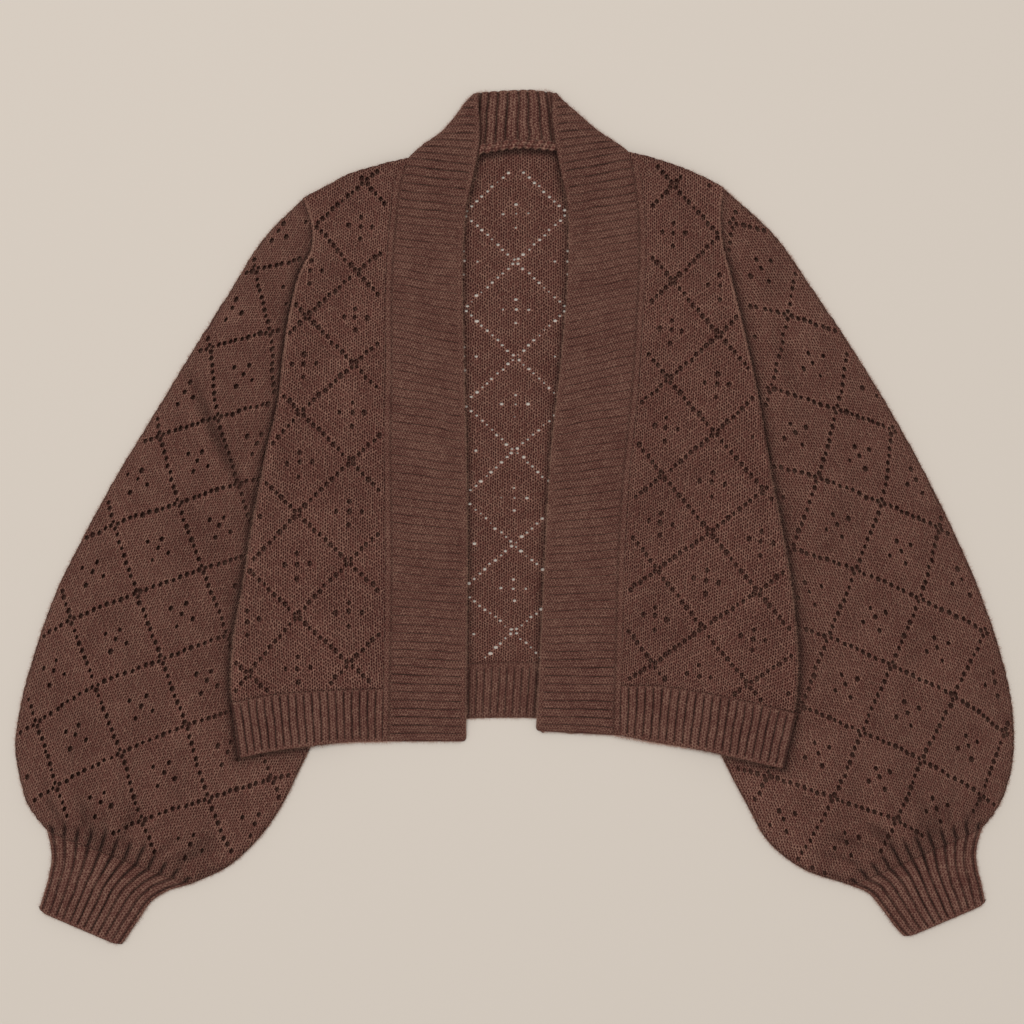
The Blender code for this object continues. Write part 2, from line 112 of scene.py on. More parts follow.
sides = {
    "right": {
        "sign": -1,
        "edge": [
            (235, -205), (240, -165), (242, -148), (241, -114), (232, -58), (221, 9), (211, 56),
            (201, 99), (197, 136), (191, 175), (181, 211), (173, 226), (173, 248), (180, 270),
        ],
        "shoulder": [(90, 304), (119, 297), (142, 290), (161, 280), (180, 270)],
        "bandSeam": [
            (108, -192), (106, -114), (105, -29), (106, 56), (105, 141), (105, 192), (101, 252),
            (96, 287), (90, 304), (79, 315), (61, 328), (50, 341), (40, 354), (35, 359),
        ],
        "bandFree": [
            (41, -192), (41, -139), (40, -37), (41, 56), (43, 133), (44, 201), (41, 260),
            (36, 282), (31, 306), (29, 323), (30, 345), (31, 359),
        ],
        "hemTop": [(107, -147), (157, -148), (199, -151), (239, -158)],
        "hemFoot": [(108, -192), (150, -193), (177, -196), (208, -200), (232, -205)],
        "sleeveOuter": [
            (180, 270), (211, 239), (244, 188), (276, 137), (307, 86), (338, 35), (366, -16),
            (391, -67), (409, -118), (421, -165), (425, -195), (421, -223), (414, -246),
            (406, -258), (398, -267),
        ],
        "sleeveInner": [
            (211, 56), (213, 49), (213, 41), (205, 23), (189, -10), (175, -51), (168, -83),
            (164, -117), (164, -152), (171, -190), (184, -218), (199, -248), (221, -278),
            (245, -299), (275, -313),
        ],
        "cuffOuter": [(398, -267), (395, -280), (394, -291), (396, -305), (400, -320), (405, -336)],
        "cuffInner": [(275, -313), (297, -320), (310, -329), (317, -339), (325, -351), (335, -366)],
        # each crease: its line, how deep it is (below 0, a ridge), its half width, and its painted shade (below 0,
        # painted light)
        "creases": [
            ([(281, 132), (266, 98), (256, 75), (245, 52), (235, 30), (219, 0)], 2.6, 9, 0.52),
            ([(288, 120), (277, 94), (266, 70), (256, 48), (246, 26)], -1.0, 8, -0.14),
            ([(287, 40), (270, 2), (252, -34), (236, -70)], 0.9, 16, 0.12),
            ([(352, -60), (330, -110), (322, -150), (330, -200)], 0.8, 15, 0.12),
            ([(298, -298), (279, -287), (262, -276), (246, -268)], 1.4, 9, 0.34),
            ([(357, -280), (361, -257), (365, -234)], 1.0, 8, 0.26),
            ([(332, -284), (328, -262), (317, -238)], 0.8, 8, 0.20),
            ([(344, -270), (346, -240), (340, -206)], -0.9, 10, -0.12),
        ],
        "frontNet": [
            (1, 0, 127, 284), (1, 1, 134, 207), (1, 2, 136, 129), (1, 3, 139, 46), (1, 4, 141, -39), (1, 5, 140, -125),
            (2, 0.5, 169, 247), (2, 1.5, 176, 170), (2, 2.5, 181, 88), (2, 3.5, 184, 2), (2, 4.5, 184, -85),
            (3, 3, 223, 39), (3, 4, 227, -44), (3, 5, 225, -134),
        ],
        "sleeveNet": [
            (2, -3, 220, 209), (2, -2, 258, 143), (2, -1, 301, 68), (2, 0, 340, -7), (2, 1, 377, -88),
            (2, 2, 405, -176),
            (1, -2.5, 207, 157), (1, -1.5, 253, 83), (1, -0.5, 285, 11), (1, 0.5, 320, -66), (1, 1.5, 356, -144),
            (0, -2, 203, 97), (0, -1, 235, 27), (0, 0, 264, -45), (0, 1, 299, -122), (0, 2, 334, -201),
            (-1, 0.5, 243, -101), (-1, 1.5, 278, -178), (-1, 2.5, 317, -258), (-2, 2, 260, -240),
        ],
    },
    "left": {
        "sign": 1,
        "edge": [
            (229, -214), (240, -161), (242, -122), (239, -80), (233, -37), (224, 11), (215, 56),
            (208, 99), (201, 133), (193, 168), (184, 205), (177, 235), (176, 258), (178, 279),
        ],
        "shoulder": [(97, 309), (121, 303), (157, 290), (178, 279)],
        "bandSeam": [
            (85, -186.5), (87, -114), (89, -37), (93, 31), (100, 99), (105, 175), (107, 226),
            (105, 269), (102, 290), (97, 309), (86, 318), (71, 328), (56, 341), (41, 354), (36, 359),
        ],
        "bandFree": [
            (18, -183), (20, -156), (23, -93), (27, -12), (32, 65), (39, 126), (44, 184),
            (46, 226), (44, 269), (40, 287), (35, 314), (32, 337), (32, 359),
        ],
        "hemTop": [(86, -144), (124, -145), (158, -150), (200, -158), (238, -167)],
        "hemFoot": [(85, -186.5), (119, -193), (153, -198), (178, -203), (204, -209), (227, -214)],
        "sleeveOuter": [
            (178, 279), (221, 239), (257, 188), (291, 137), (322, 86), (350, 35), (375, -16),
            (397, -67), (414, -118), (424, -167), (425, -195), (422, -220), (415, -241),
            (407, -255), (399, -264),
        ],
        "sleeveInner": [
            (215, 56), (217, 49), (217, 41), (208, 22), (191, -12), (176, -54), (169, -87),
            (164, -121), (165, -156), (171, -192), (183, -218), (198, -246), (215, -276),
            (243, -299), (285, -314),
        ],
        "cuffOuter": [(399, -264), (395, -275), (393, -286), (394, -299), (397, -311), (401, -330)],
        "cuffInner": [(285, -314), (301, -321), (311, -332), (319, -343), (326, -352), (333, -359)],
        # each crease: its line, how deep it is (below 0, a ridge), its half width, and its painted shade (below 0,
        # painted light)
        "creases": [
            ([(214, 214), (219, 180), (228, 140), (238, 100), (246, 62)], 1.5, 12, 0.20),
            ([(296, 60), (280, 12), (262, -30), (240, -64)], 0.9, 16, 0.12),
            ([(356, -70), (338, -120), (330, -170), (336, -215)], 0.8, 15, 0.12),
            ([(298, -260), (312, -273), (325, -286)], 1.4, 9, 0.40),
            ([(262, -268), (283, -277), (300, -287)], 1.2, 8, 0.28),
            ([(361, -232), (358, -262), (352, -280)], 1.0, 7, 0.26),
            ([(347, -238), (343, -268), (336, -286)], 0.9, 7, 0.22),
            ([(330, -250), (334, -268), (336, -284)], -0.9, 8, -0.12),
        ],
        "frontNet": [
            (1, 0, 135, 281), (1, 1, 135, 200), (1, 2, 131, 116), (1, 3, 126, 34), (1, 4, 121, -45), (1, 5, 118, -126),
            (2, 0.5, 174, 238), (2, 1.5, 174, 154), (2, 2.5, 170, 71), (2, 3.5, 166, -14), (2, 4.5, 159, -95),
            (3, 2, 212, 109), (3, 3, 212, 22), (3, 4, 206, -65), (3, 5, 198, -142),
        ],
        "sleeveNet": [
            (1, -2.5, 274, 90), (2, -2, 320, 73), (0, -2, 258, 33), (1, -1.5, 312, 11), (2, -1, 360, -10),
            (0, -1, 289, -46), (1, -0.5, 344, -70), (-1, -0.5, 266, -102), (2, 0, 401, -99), (0, 0, 320, -127),
            (-2, 0, 244, -162), (1, 0.5, 373, -153), (-1, 0.5, 294, -184), (-3, 0.5, 215, -221), (2, 1, 415, -184),
            (0, 1, 345, -207), (-2, 1, 271, -240), (-1, 1.5, 325, -258),
        ],
    },
}

backHemTop = [(-241, -158), (-182, -146), (-114, -133), (-40, -126), (19, -125), (90, -133), (158, -146), (240, -167)]
backHemFoot = [
    (-235, -205), (-182, -191), (-114, -178), (-40, -172.5), (17, -172), (90, -178.5), (158, -193), (229, -214),
]
neckLine = [(-77, 305), (-63, 306), (-45, 307), (-26, 311), (3, 315), (34, 313), (55, 310), (73, 309), (83, 309)]
collarTop = [
    (-90, 304), (-79, 315), (-61, 328), (-50, 341), (-40, 354), (-34, 360), (-11, 362), (13, 363), (36, 360),
    (41, 354), (56, 341), (71, 328), (86, 318), (97, 309),
]
backNet = [(0, 1, 217), (1, 1, 135), (2, 0, 56), (3, -1, -24), (4, -1, -98), (-1, 1, 298)]  # its middle column

lay = {
    "middle": (0.596, -0.418),  # of the whole outline, in the tables' own places
    "wall": 2.0,  # height of the face of a layer that lies flat
    "ribRise": 0.8,
    "layerAir": 0.8,
    "sleeveFlat": 4.8,  # height of a flattened sleeve
    "liftRamp": 45,  # how far the body takes to come down beside the hidden part of a sleeve
    "liftLead": 3,
    "droop": 12,  # how far a front takes to come down past the foot of the back
    "drooped": 0.3,
    "neckRise": 2.4,
}
lay["bodyLift"] = lay["sleeveFlat"] + lay["layerAir"]  # of the body on the sleeve under it
lay["secondLayer"] = lay["wall"] + lay["ribRise"] + lay["layerAir"]  # of the fronts on the back


def smoothStep(low, high, value):
    share = np.clip((np.asarray(value, float) - low) / (high - low), 0, 1)
    return share * share * (3 - 2 * share)


def bell(value, middle, width):  # 1 at the middle, fading away on both sides
    return np.exp(-(((value - middle) / width) ** 2))


def roundEdge(distance, reach):  # the height across a round edge, from 0 at the edge to 1 at its reach
    return np.sqrt(1 - (1 - np.clip(distance / reach, 0, 1)) ** 2)


def between(low, high, share):
    return low * (1 - share) + high * share


def softNoise(seed, a, b):  # smooth seeded values from -1 to 1, one to each whole number of a and b
    size = 97
    table = np.random.RandomState(seed).uniform(-1, 1, (size, size))
    a, b = np.broadcast_arrays(np.asarray(a, float), np.asarray(b, float))
    i, j = np.floor(a).astype(int), np.floor(b).astype(int)
    s, r = smoothStep(0, 1, a - i), smoothStep(0, 1, b - j)
    near, far = (between(table[i % size, k % size], table[(i + 1) % size, k % size], s) for k in (j, j + 1))
    return between(near, far, r)


def readRows(keys, values, at):  # a cubic through the rows, for many places at once
    keys, values = np.asarray(keys, float), np.asarray(values, float)
    at = np.clip(np.asarray(at, float), keys[0], keys[-1])
    slopes = np.gradient(values, keys, axis=0)
    row = np.clip(np.searchsorted(keys, at, side="right") - 1, 0, len(keys) - 2)
    span = keys[row + 1] - keys[row]
    s = (at - keys[row]) / span
    if values.ndim > 1:
        s, span = s[..., None], span[..., None]
    before = (1 + 2 * s) * (1 - s) ** 2 * values[row] + s * (1 - s) ** 2 * span * slopes[row]
    return before + s * s * (3 - 2 * s) * values[row + 1] - s * s * (1 - s) * span * slopes[row + 1]


def stepLengths(line):
    return np.linalg.norm(np.diff(line, axis=0), axis=1)


def lineAt(places, shares):  # places along a smooth line, at shares of its length
    places = np.asarray(places, float)
    length = np.concatenate([[0], np.cumsum(stepLengths(places))])
    return readRows(length / length[-1], places, shares)


def evenly(places, count, start=0, stop=1):
    return lineAt(places, np.linspace(start, stop, count))


def outAt(rows, up):  # how far out a line is at a height
    rows = np.array(rows if rows[0][1] < rows[-1][1] else rows[::-1], float)
    return readRows(rows[:, 1], rows[:, 0], up)


def upAt(rows, out):  # how high a line is, that far out
    rows = np.array(rows, float)
    return readRows(rows[:, 0], rows[:, 1], out)


def toLine(points, line):  # how far each point is from a broken line
    starts, ends = np.asarray(line[:-1], float), np.asarray(line[1:], float)
    along = ends - starts
    nearest = np.full(len(points), 1e9)
    for a, d in zip(starts, along):
        s = np.clip(((points - a) @ d) / max(d @ d, 1e-12), 0, 1)
        nearest = np.minimum(nearest, np.linalg.norm(points - a - s[:, None] * d, axis=1))
    return nearest


def insideOutline(points, outline):  # which points are inside, by the sides that a level line crosses
    inside = np.zeros(len(points), bool)
    x, y = points.T
    for (x0, y0), (x1, y1) in zip(outline, np.roll(outline, -1, axis=0)):
        crosses = (y0 > y) != (y1 > y)
        if crosses.any():
            inside ^= crosses & (x < (x1 - x0) * (y - y0) / (y1 - y0 if y1 != y0 else 1e-12) + x0)
    return inside


def bodyLift(out, up, side):  # the body rises over the part of the sleeve that lies under it
    underarm = side["sleeveInner"][0][1]
    hiddenFold = np.where(up < underarm, outAt(side["sleeveInner"], up), outAt(side["edge"], up))
    share = 1 - smoothStep(underarm + 10, underarm + 160, up)
    return lay["bodyLift"] * share * (1 - smoothStep(0, lay["liftRamp"], hiddenFold - lay["liftLead"] - out))


def frontUnder(out, up, side):  # the height of what a front, its hem and its band lie on
    foot = upAt(backHemFoot, out * side["sign"]) - 1
    onBack = smoothStep(-lay["droop"], 0, up - foot)
    overNeck = lay["neckRise"] * smoothStep(240, 290, up) * (1 - smoothStep(100, 160, out))
    return bodyLift(out, up, side) + lay["drooped"] + (lay["secondLayer"] - lay["drooped"]) * onBack + overNeck


def creaseDepth(out, up, side):  # how deep each place is from the sleeve's creases, and how much painted shade they put there (painted light where it is below 0)
    steps = 24
    points = np.column_stack([np.ravel(out), np.ravel(up)])
    depth, dark = np.zeros(len(points)), np.zeros(len(points))
    for rows, deep, halfWidth, tone in side["creases"]:
        line = evenly(rows, steps + 1)
        gaps = np.linalg.norm(points[:, None] - line[None], axis=2)
        nearest = gaps.argmin(axis=1)
        fade = np.sin(np.pi * nearest / steps)
        close = fade * (1 - smoothStep(0, halfWidth, gaps.min(axis=1)))
        depth, dark = depth + deep * close, dark + tone * close
    return depth.reshape(np.shape(out)), np.minimum(dark, 0.7).reshape(np.shape(out))


sheetGrid = {
    "rowStep": 0.87,  # from row to row of points, as a share of their spacing
    "gatherStep": 1.15,  # spacing where the cloth is gathered
    "gatherReach": 22,
    "ringPoints": 10,  # round each eyelet
    "ringWidth": 0.9,
    "ringClear": 1.6,  # between an eyelet and the grid's points
    "edgeClear": 1.8,  # between an eyelet and the sheet's edge
}


# triangles inside an outline, with a small hole at each eyelet (x, y, half width, half height, turn)
def sheetMesh(outline, eyelets, spacing, gathered=None):
    def spread(low, high, step):
        rows = []
        for j, y in enumerate(np.arange(low[1], high[1], step * sheetGrid["rowStep"])):
            xs = np.arange(low[0] + (j % 2) * step / 2, high[0], step)
            rows.append(np.column_stack([xs, np.full(len(xs), y)]))
        return np.concatenate(rows)

    ring, reach = sheetGrid["ringPoints"], sheetGrid["gatherReach"]
    closed = np.vstack([outline, outline[:1]])
    grid = spread(outline.min(axis=0), outline.max(axis=0), spacing)
    if gathered is not None:  # closer together where the cloth is gathered
        close = spread(gathered.min(axis=0) - (reach + 2), gathered.max(axis=0) + (reach + 2), sheetGrid["gatherStep"])
        close = close[insideOutline(close, outline)]
        close = close[(toLine(close, gathered) < reach) & (toLine(close, closed) > 0.9)]
        grid = grid[toLine(grid, gathered) > reach + 1]
    grid = grid[insideOutline(grid, outline)]
    grid = grid[toLine(grid, closed) > spacing * 0.6]
    if gathered is not None:
        grid = np.vstack([grid, close])
    points, edges = [tuple(p) for p in outline], [(i, (i + 1) % len(outline)) for i in range(len(outline))]
    if len(eyelets):
        eyelets = eyelets[insideOutline(eyelets[:, :2], outline)]
        eyelets = eyelets[toLine(eyelets[:, :2], closed) > eyelets[:, 2:4].max(axis=1) + sheetGrid["edgeClear"]]
        clear = np.ones(len(grid), bool)
        for x, y, a, b, turn in eyelets:
            near = np.abs(grid - (x, y)).max(axis=1) < 6
            clear[near] &= np.linalg.norm(grid[near] - (x, y), axis=1) > max(a, b) + sheetGrid["ringClear"]
            angles = np.linspace(0, 2 * np.pi, ring, endpoint=False) + turn
            for grow in (0, sheetGrid["ringWidth"]):
                first = len(points)
                across, along = (a + grow) * np.cos(angles - turn), (b + grow) * np.sin(angles - turn)
                corners = np.column_stack([
                    x + across * np.cos(turn) - along * np.sin(turn), y + across * np.sin(turn) + along * np.cos(turn)])
                points += [tuple(p) for p in corners]
                if grow == 0:
                    edges += [(first + i, first + (i + 1) % ring) for i in range(ring)]
        grid = grid[clear]
    points += [tuple(p) for p in grid]
    found = delaunay_2d_cdt([Vector(p) for p in points], edges, [], 1, 1e-4)
    flat = np.array([tuple(p) for p in found[0]])
    faces = np.array([f for f in found[2] if len(f) == 3])
    centres = flat[faces].mean(axis=1)
    keep = np.ones(len(faces), bool)
    rim = np.full(len(flat), 9.0)  # how many half widths from the nearest eyelet's middle
    for x, y, a, b, turn in eyelets:
        for spots in (centres, flat):
            near = np.flatnonzero(np.abs(spots - (x, y)).max(axis=1) < 4)
            d = spots[near] - (x, y)
            halfWidths = np.hypot(
                (d[:, 0] * np.cos(turn) + d[:, 1] * np.sin(turn)) / a,
                (-d[:, 0] * np.sin(turn) + d[:, 1] * np.cos(turn)) / b)
            if spots is centres:
                keep[near[halfWidths < 0.9]] = False
            else:
                rim[near] = np.minimum(rim[near], halfWidths)
    faces = faces[keep]
    return flat, faces, rim, toLine(flat, closed)


def newPiece(name, places, faces, material):
    mesh = bpy.data.meshes.new(name)
    mesh.from_pydata(((places - (*lay["middle"], 0)) * 0.001).tolist(), [], faces.tolist())
    mesh.materials.append(material)
    return addObject(name, mesh), mesh


# the outer face of a piece of cloth, thickened inwards to its wall
def makeCloth(name, places, faces, stitches, shade, material, wall, nodes, inner=None):
    piece, mesh = newPiece(name, places, faces, material)
    mesh.materials.append(inner or material)
    corners = np.empty(len(mesh.loops), int)
    mesh.loops.foreach_get("vertex_index", corners)
    layer = mesh.uv_layers.new(name="stitches")
    layer.data.foreach_set("uv", np.asarray(stitches, float)[corners].ravel())
    # the shade attribute holds painted light and shade, with some of the yarn's own tone that differs at random
    tone = mesh.attributes.new("shade", "FLOAT", "POINT")
    tone.data.foreach_set("value", np.asarray(shade, np.float32))
    mesh.shade_smooth()
    thicken = piece.modifiers.new("wall", "SOLIDIFY")
    thicken.thickness = wall * 0.001
    thicken.offset = -1
    thicken.material_offset = 1
    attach(piece, "root")
    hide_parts(*nodes)
    return piece


def faceUp(places, faces):  # turns over the triangles that face down
    a, b, c = (places[faces[:, i], :2] for i in (0, 1, 2))
    turned = ((b - a)[:, 0] * (c - a)[:, 1] - (b - a)[:, 1] * (c - a)[:, 0]) < 0
    faces[turned] = faces[turned][:, ::-1]
    return faces


def gridFaces(rows, columns, wrap=False):
    numbers = np.arange(rows * columns).reshape(rows, columns)
    if wrap:
        numbers = np.hstack([numbers, numbers[:, :1]])
    quads = np.stack([numbers[:-1, :-1], numbers[:-1, 1:], numbers[1:, 1:], numbers[1:, :-1]], axis=-1)
    return quads.reshape(-1, 4)


yarn = {
    # the colour ramp runs from painted shade in the stitches' gaps, through the yarn's own colour, to painted light on
    # their legs
    "dark": (0.021, 0.0037, 0.0028, 1),
    "middle": (0.1015, 0.0351, 0.0270, 1),
    "light": (0.264, 0.1460, 0.1040, 1),
    "fibre": 1500.0,  # these three are noise scales, in waves per metre
    "heather": 60.0,
    "wander": 170.0,
    "stray": 0.26,  # how far each stitch strays on its own
    "gap": (0.10, 0.44),  # the gap in a stitch, painted in shade, from its dark core to where it has faded out
    "valley": (0.72, 1.0),  # the painted shade between two wales
    "toneAt": (0.08, 0.55, 0.95),  # where dark, middle and light lie on the ramp
    "contrast": 0.78,
    "brightness": 0.16,
    "bump": 0.85,
    "finish": {
        "Roughness": 0.92, "Specular IOR Level": 0.12, "Sheen Weight": 0.06, "Sheen Roughness": 0.5,
        "Sheen Tint": (0.8, 0.47, 0.37, 1),
    },
}


# straggle is how far whole rows and columns of stitches stray
def knitMaterial(name, dotDepth, legDepth, relief, fixedShade=None, dotShape=(1.05, 0.74), straggle=0.40):
    material = bpy.data.materials.new(name)
    material.use_nodes = True
    tree = material.node_tree
    shader = tree.nodes["Principled BSDF"]

    def put(kind, inputs=(), out=0, **settings):
        node = tree.nodes.new(kind)
        for key, value in settings.items():
            setattr(node, key, value)
        for key, value in dict(inputs).items():
            if isinstance(value, bpy.types.NodeSocket):
                tree.links.new(value, node.inputs[key])
            else:
                node.inputs[key].default_value = value
        return node.outputs[out]

    def calc(operation, a, b=0.0, c=0.0):
        return put("ShaderNodeMath", {0: a, 1: b, 2: c}, operation=operation)

    def vector(operation, a, b=(0, 0, 0), out=0):
        return put("ShaderNodeVectorMath", {0: a, "Scale" if operation == "SCALE" else 1: b}, out, operation=operation)

    def mapped(value, low, high, toLow, toHigh):
        return put(
            "ShaderNodeMapRange", {0: value, 1: low, 2: high, 3: toLow, 4: toHigh}, interpolation_type="SMOOTHSTEP")

    stitches = put("ShaderNodeUVMap", uv_map="stitches")
    spot = put("ShaderNodeTexCoord", out=3)  # the object's own places
    toMiddle = (-0.5, -0.5, -0.5)
    wander = put("ShaderNodeTexNoise", {"Vector": spot, "Scale": yarn["wander"], "Detail": 1.0}, out=1)
    place = vector("ADD", stitches, vector("SCALE", vector("ADD", wander, toMiddle), straggle * 2))

    # each wale of stitches is half a course off the next, with one gap in the middle of each stitch, painted in shade
    split = put("ShaderNodeSeparateXYZ", {0: place}).node
    wale = calc("ROUND", split.outputs[0])
    along = calc("MULTIPLY_ADD", wale, 0.5, split.outputs[1])
    course = calc("ROUND", along)
    cell = put("ShaderNodeCombineXYZ", {0: wale, 1: course})
    chance = put("ShaderNodeTexWhiteNoise", {"Vector": cell}).node
    stray = vector("SCALE", vector("ADD", chance.outputs["Color"], toMiddle), yarn["stray"])
    sideways = calc("SUBTRACT", split.outputs[0], wale)
    middle = put("ShaderNodeCombineXYZ", {0: sideways, 1: calc("SUBTRACT", along, course)})
    middle = vector("MULTIPLY", vector("ADD", middle, stray), (*dotShape, 0.0))
    dot = mapped(vector("LENGTH", middle, out=1), *yarn["gap"], 1.0, 0.0)
    dot = calc("MULTIPLY", dot, calc("MULTIPLY_ADD", chance.outputs["Value"], 0.9 * dotDepth, 0.6 * dotDepth))

    # the two legs of each stitch lean together, with painted light and shade along each strand and painted shade in the
    # valley between wales
    fromMiddle = calc("MULTIPLY", calc("ABSOLUTE", sideways), 2.0)
    strand = calc("COSINE", calc("MULTIPLY", calc("MULTIPLY_ADD", fromMiddle, -0.5, along), 6.2832))
    groove = mapped(fromMiddle, *yarn["valley"], 0.0, 1.0)
    leg = calc("MULTIPLY_ADD", chance.outputs["Value"], 0.34, 0.65)
    leg = calc("MULTIPLY_ADD", strand, 0.22 * legDepth, leg)
    leg = calc("SUBTRACT", leg, calc("MULTIPLY", groove, 0.42 * legDepth))
    height = calc("SUBTRACT", leg, dot)

    fibre = put("ShaderNodeTexNoise", {"Vector": spot, "Scale": yarn["fibre"], "Detail": 2.0, "Roughness": 0.75})
    heather = put("ShaderNodeTexNoise", {"Vector": spot, "Scale": yarn["heather"], "Detail": 3.0})
    tone = calc("ADD", height, calc("MULTIPLY_ADD", fibre, 0.6, -0.3))
    tone = calc("ADD", tone, calc("MULTIPLY_ADD", heather, 0.36, -0.18))
    # the stitches' height picks the colour: painted shade where they are low, painted light where they are high, with
    # the yarn's own fibre and heather tone
    ramp = put("ShaderNodeValToRGB", {0: calc("MULTIPLY_ADD", tone, yarn["contrast"], yarn["brightness"])}).node
    dark, light = ramp.color_ramp.elements
    dark.position, middleAt, light.position = yarn["toneAt"]
    dark.color, light.color = yarn["dark"], yarn["light"]
    ramp.color_ramp.elements.new(middleAt).color = yarn["middle"]
    # the colour is scaled by the painted light and shade of the shade attribute, or by one fixed shade
    shade = fixedShade or put("ShaderNodeAttribute", out=2, attribute_name="shade")
    tree.links.new(vector("SCALE", ramp.outputs[0], shade), shader.inputs["Base Color"])
    bumpHeight = calc("ADD", height, calc("MULTIPLY", fibre, 0.3))
    bump = put("ShaderNodeBump", {"Height": bumpHeight, "Strength": yarn["bump"], "Distance": relief * 0.001})
    tree.links.new(bump, shader.inputs["Normal"])
    setSockets(shader, yarn["finish"])
    material.diffuse_color = yarn["middle"]
    return material


eyeletKnit = knitMaterial("eyeletKnit", 1.04, 1.0, 0.7)
sleeveKnit = knitMaterial("sleeveKnit", 0.90, 1.2, 0.7, dotShape=(1.25, 0.66))
# fixedShade takes the place of the shade attribute: purlSide has none, sleeveInside paints the inside of the sleeve's
# tube in shade, and fuzzYarn is made 1.5 times as light
purlSide = knitMaterial("purlSide", 0.6, 0.5, 0.6, fixedShade=1.0)
sleeveInside = knitMaterial("sleeveInside", 0.4, 0.5, 0.6, fixedShade=0.55)
ribKnit = knitMaterial("ribKnit", 0.54, 0.8, 0.5, straggle=0.2)
bandKnit = knitMaterial("bandKnit", 0.54, 1.3, 0.5, straggle=0.14)
fuzzYarn = knitMaterial("fuzzYarn", 0.0, 0.0, 0.1, fixedShade=1.5)
print("yarn ready")


net = {
    "walesPerColumn": 22,
    "coursesPerRow": 31,
    "halfWidth": 1.60,
    "halfHeight": 2.08,
    "flower": (0.245, 0.10, 0.14),  # from a flower's middle to its side eyelets in columns, and up and down in rows
    "sizeStray": 0.13,
    "slimStray": 0.12,
    "placeStray": 0.36,
    "leastGap": 3.1,
    "warpReach": (0.6, 50),  # in columns, and in millimetres
    "rim": (1.75, 0.45),  # where the stitches round an eyelet stand up, and how broadly, in its half widths
}


def warpBetween(source, target, reach):  # a smooth map that takes each row of source to its row of target
    source, target = np.asarray(source, float), np.asarray(target, float)
    middle, size = source.mean(axis=0), np.ptp(source, axis=0).max() / 2

    def terms(points):
        a, b = ((points - middle) / size).T
        return np.column_stack([np.ones(len(points)), a, b, a * a, a * b, b * b])

    fit = np.linalg.lstsq(terms(source), target, rcond=None)[0]
    missed = target - terms(source) @ fit

    def warp(points):
        points = np.asarray(points, float)
        weights = bell(np.linalg.norm(points[:, None] - source[None], axis=2), 0, reach)
        return terms(points) @ fit + (weights @ missed) / (weights.sum(axis=1, keepdims=True) + 0.1)

    return warp


# eyelets of all the diamonds in a range of columns and rows, their turns, and the map from places to the net
def netOf(rows, columns, span, perSide):
    rows = np.array(rows, float)
    toPlace = warpBetween(rows[:, :2], rows[:, 2:], net["warpReach"][0])
    toNet = warpBetween(rows[:, 2:], rows[:, :2], net["warpReach"][1])
    whole = next(int(c) % 2 for c, r, *_ in rows if r == int(r))  # the columns whose crossings are at whole rows
    spots = []
    for column in range(*columns):
        offset = 0.5 * (column % 2 != whole)
        for row in np.arange(span[0], span[1]) + offset:
            for rise in (-0.5, 0.5):
                for i in range(perSide):
                    step = (i + 0.5) / perSide
                    spots.append((column + step, row + rise * step))
            across, rise, fall = net["flower"]
            spots += [(column, row + 0.5), (column - across, row + 0.5), (column + across, row + 0.5)]
            spots += [(column, row + 0.5 - rise), (column, row + 0.5 + fall)]
    spots = np.array(spots)
    places = toPlace(spots)
    ahead = toPlace(spots + (0, 0.02)) - places
    turn = np.arctan2(ahead[:, 1], ahead[:, 0]) + np.pi / 2
    return places, turn, toNet


# each eyelet with its own size and place, without those that come too near one before
def eyeletRows(places, turn, seed, wide=1.0, tall=1.0):
    chance = np.random.RandomState(seed)
    size = np.clip(1 + chance.normal(0, net["sizeStray"], len(places)), 0.65, 1.25)
    slim = np.clip(1 + chance.normal(0, net["slimStray"], len(places)), 0.6, 1.2)
    places = places + np.random.RandomState(seed + 1).normal(0, net["placeStray"], places.shape)
    gaps = np.linalg.norm(places[:, None] - places[None], axis=2)
    crowded = np.triu(gaps < net["leastGap"], 1).any(axis=0)
    rows = np.column_stack([places, net["halfWidth"] * wide * size * slim, net["halfHeight"] * tall * size, turn])
    return rows[~crowded]


def stitchesOf(toNet, points):  # the wale and course of each place
    columns, rows = toNet(points).T
    return np.column_stack([columns * net["walesPerColumn"], -rows * net["coursesPerRow"]])


def rimHeight(rim):  # an eyelet's edge dips, and the stitches round it stand up
    return 0.35 * bell(rim, *net["rim"]) - 0.55 * (rim < 1.15)


# painted light on the stitches that stand up round an eyelet, and painted shade on its dipped edge
def rimShade(rim):
    return 1 + 0.22 * bell(rim, *net["rim"]) - 0.25 * (rim < 1.15)


def roughEdge(line, amount, seed):  # the small bumps of the stitches along a fold or a seam
    chance = np.random.RandomState(seed)
    ahead = np.gradient(line, axis=0)
    across = np.column_stack([-ahead[:, 1], ahead[:, 0]]) / np.linalg.norm(ahead, axis=1)[:, None]
    bumps = chance.normal(0, amount, len(line))
    bumps[[0, -1]] = 0
    return line + across * bumps[:, None]


def edgeRows(side, low, high, inset=0.0, step=3.0):  # the inset ends at the underarm, where the sleeve is sewn on
    ups = np.linspace(low, high, max(int((high - low) / step), 2))
    underarm = side["sleeveInner"][0][1]
    return np.column_stack([outAt(side["edge"], ups) - inset * smoothStep(underarm - 9, underarm - 24, ups), ups])


seamRidge = 5.0  # width of the raised columns of stitches beside each band
frontLook = {
    "wall": 1.5,
    "above": 0.15,
    "spacing": 3.0,
    "eyelets": 0.96,
    "inset": 1.4,  # of the side edge
    "rollDepth": (0.7, 2.8),  # of the rolled side edge, and how much more where it lies on the sleeve
    "rollReach": (3.0, 5.5),
    "wave": 0.3,
    "tone": 1.13,
}


def ridgeWidth(side, up):
    top = side["shoulder"][0][1]
    return seamRidge * (1 - smoothStep(top - 14, top - 3, up))


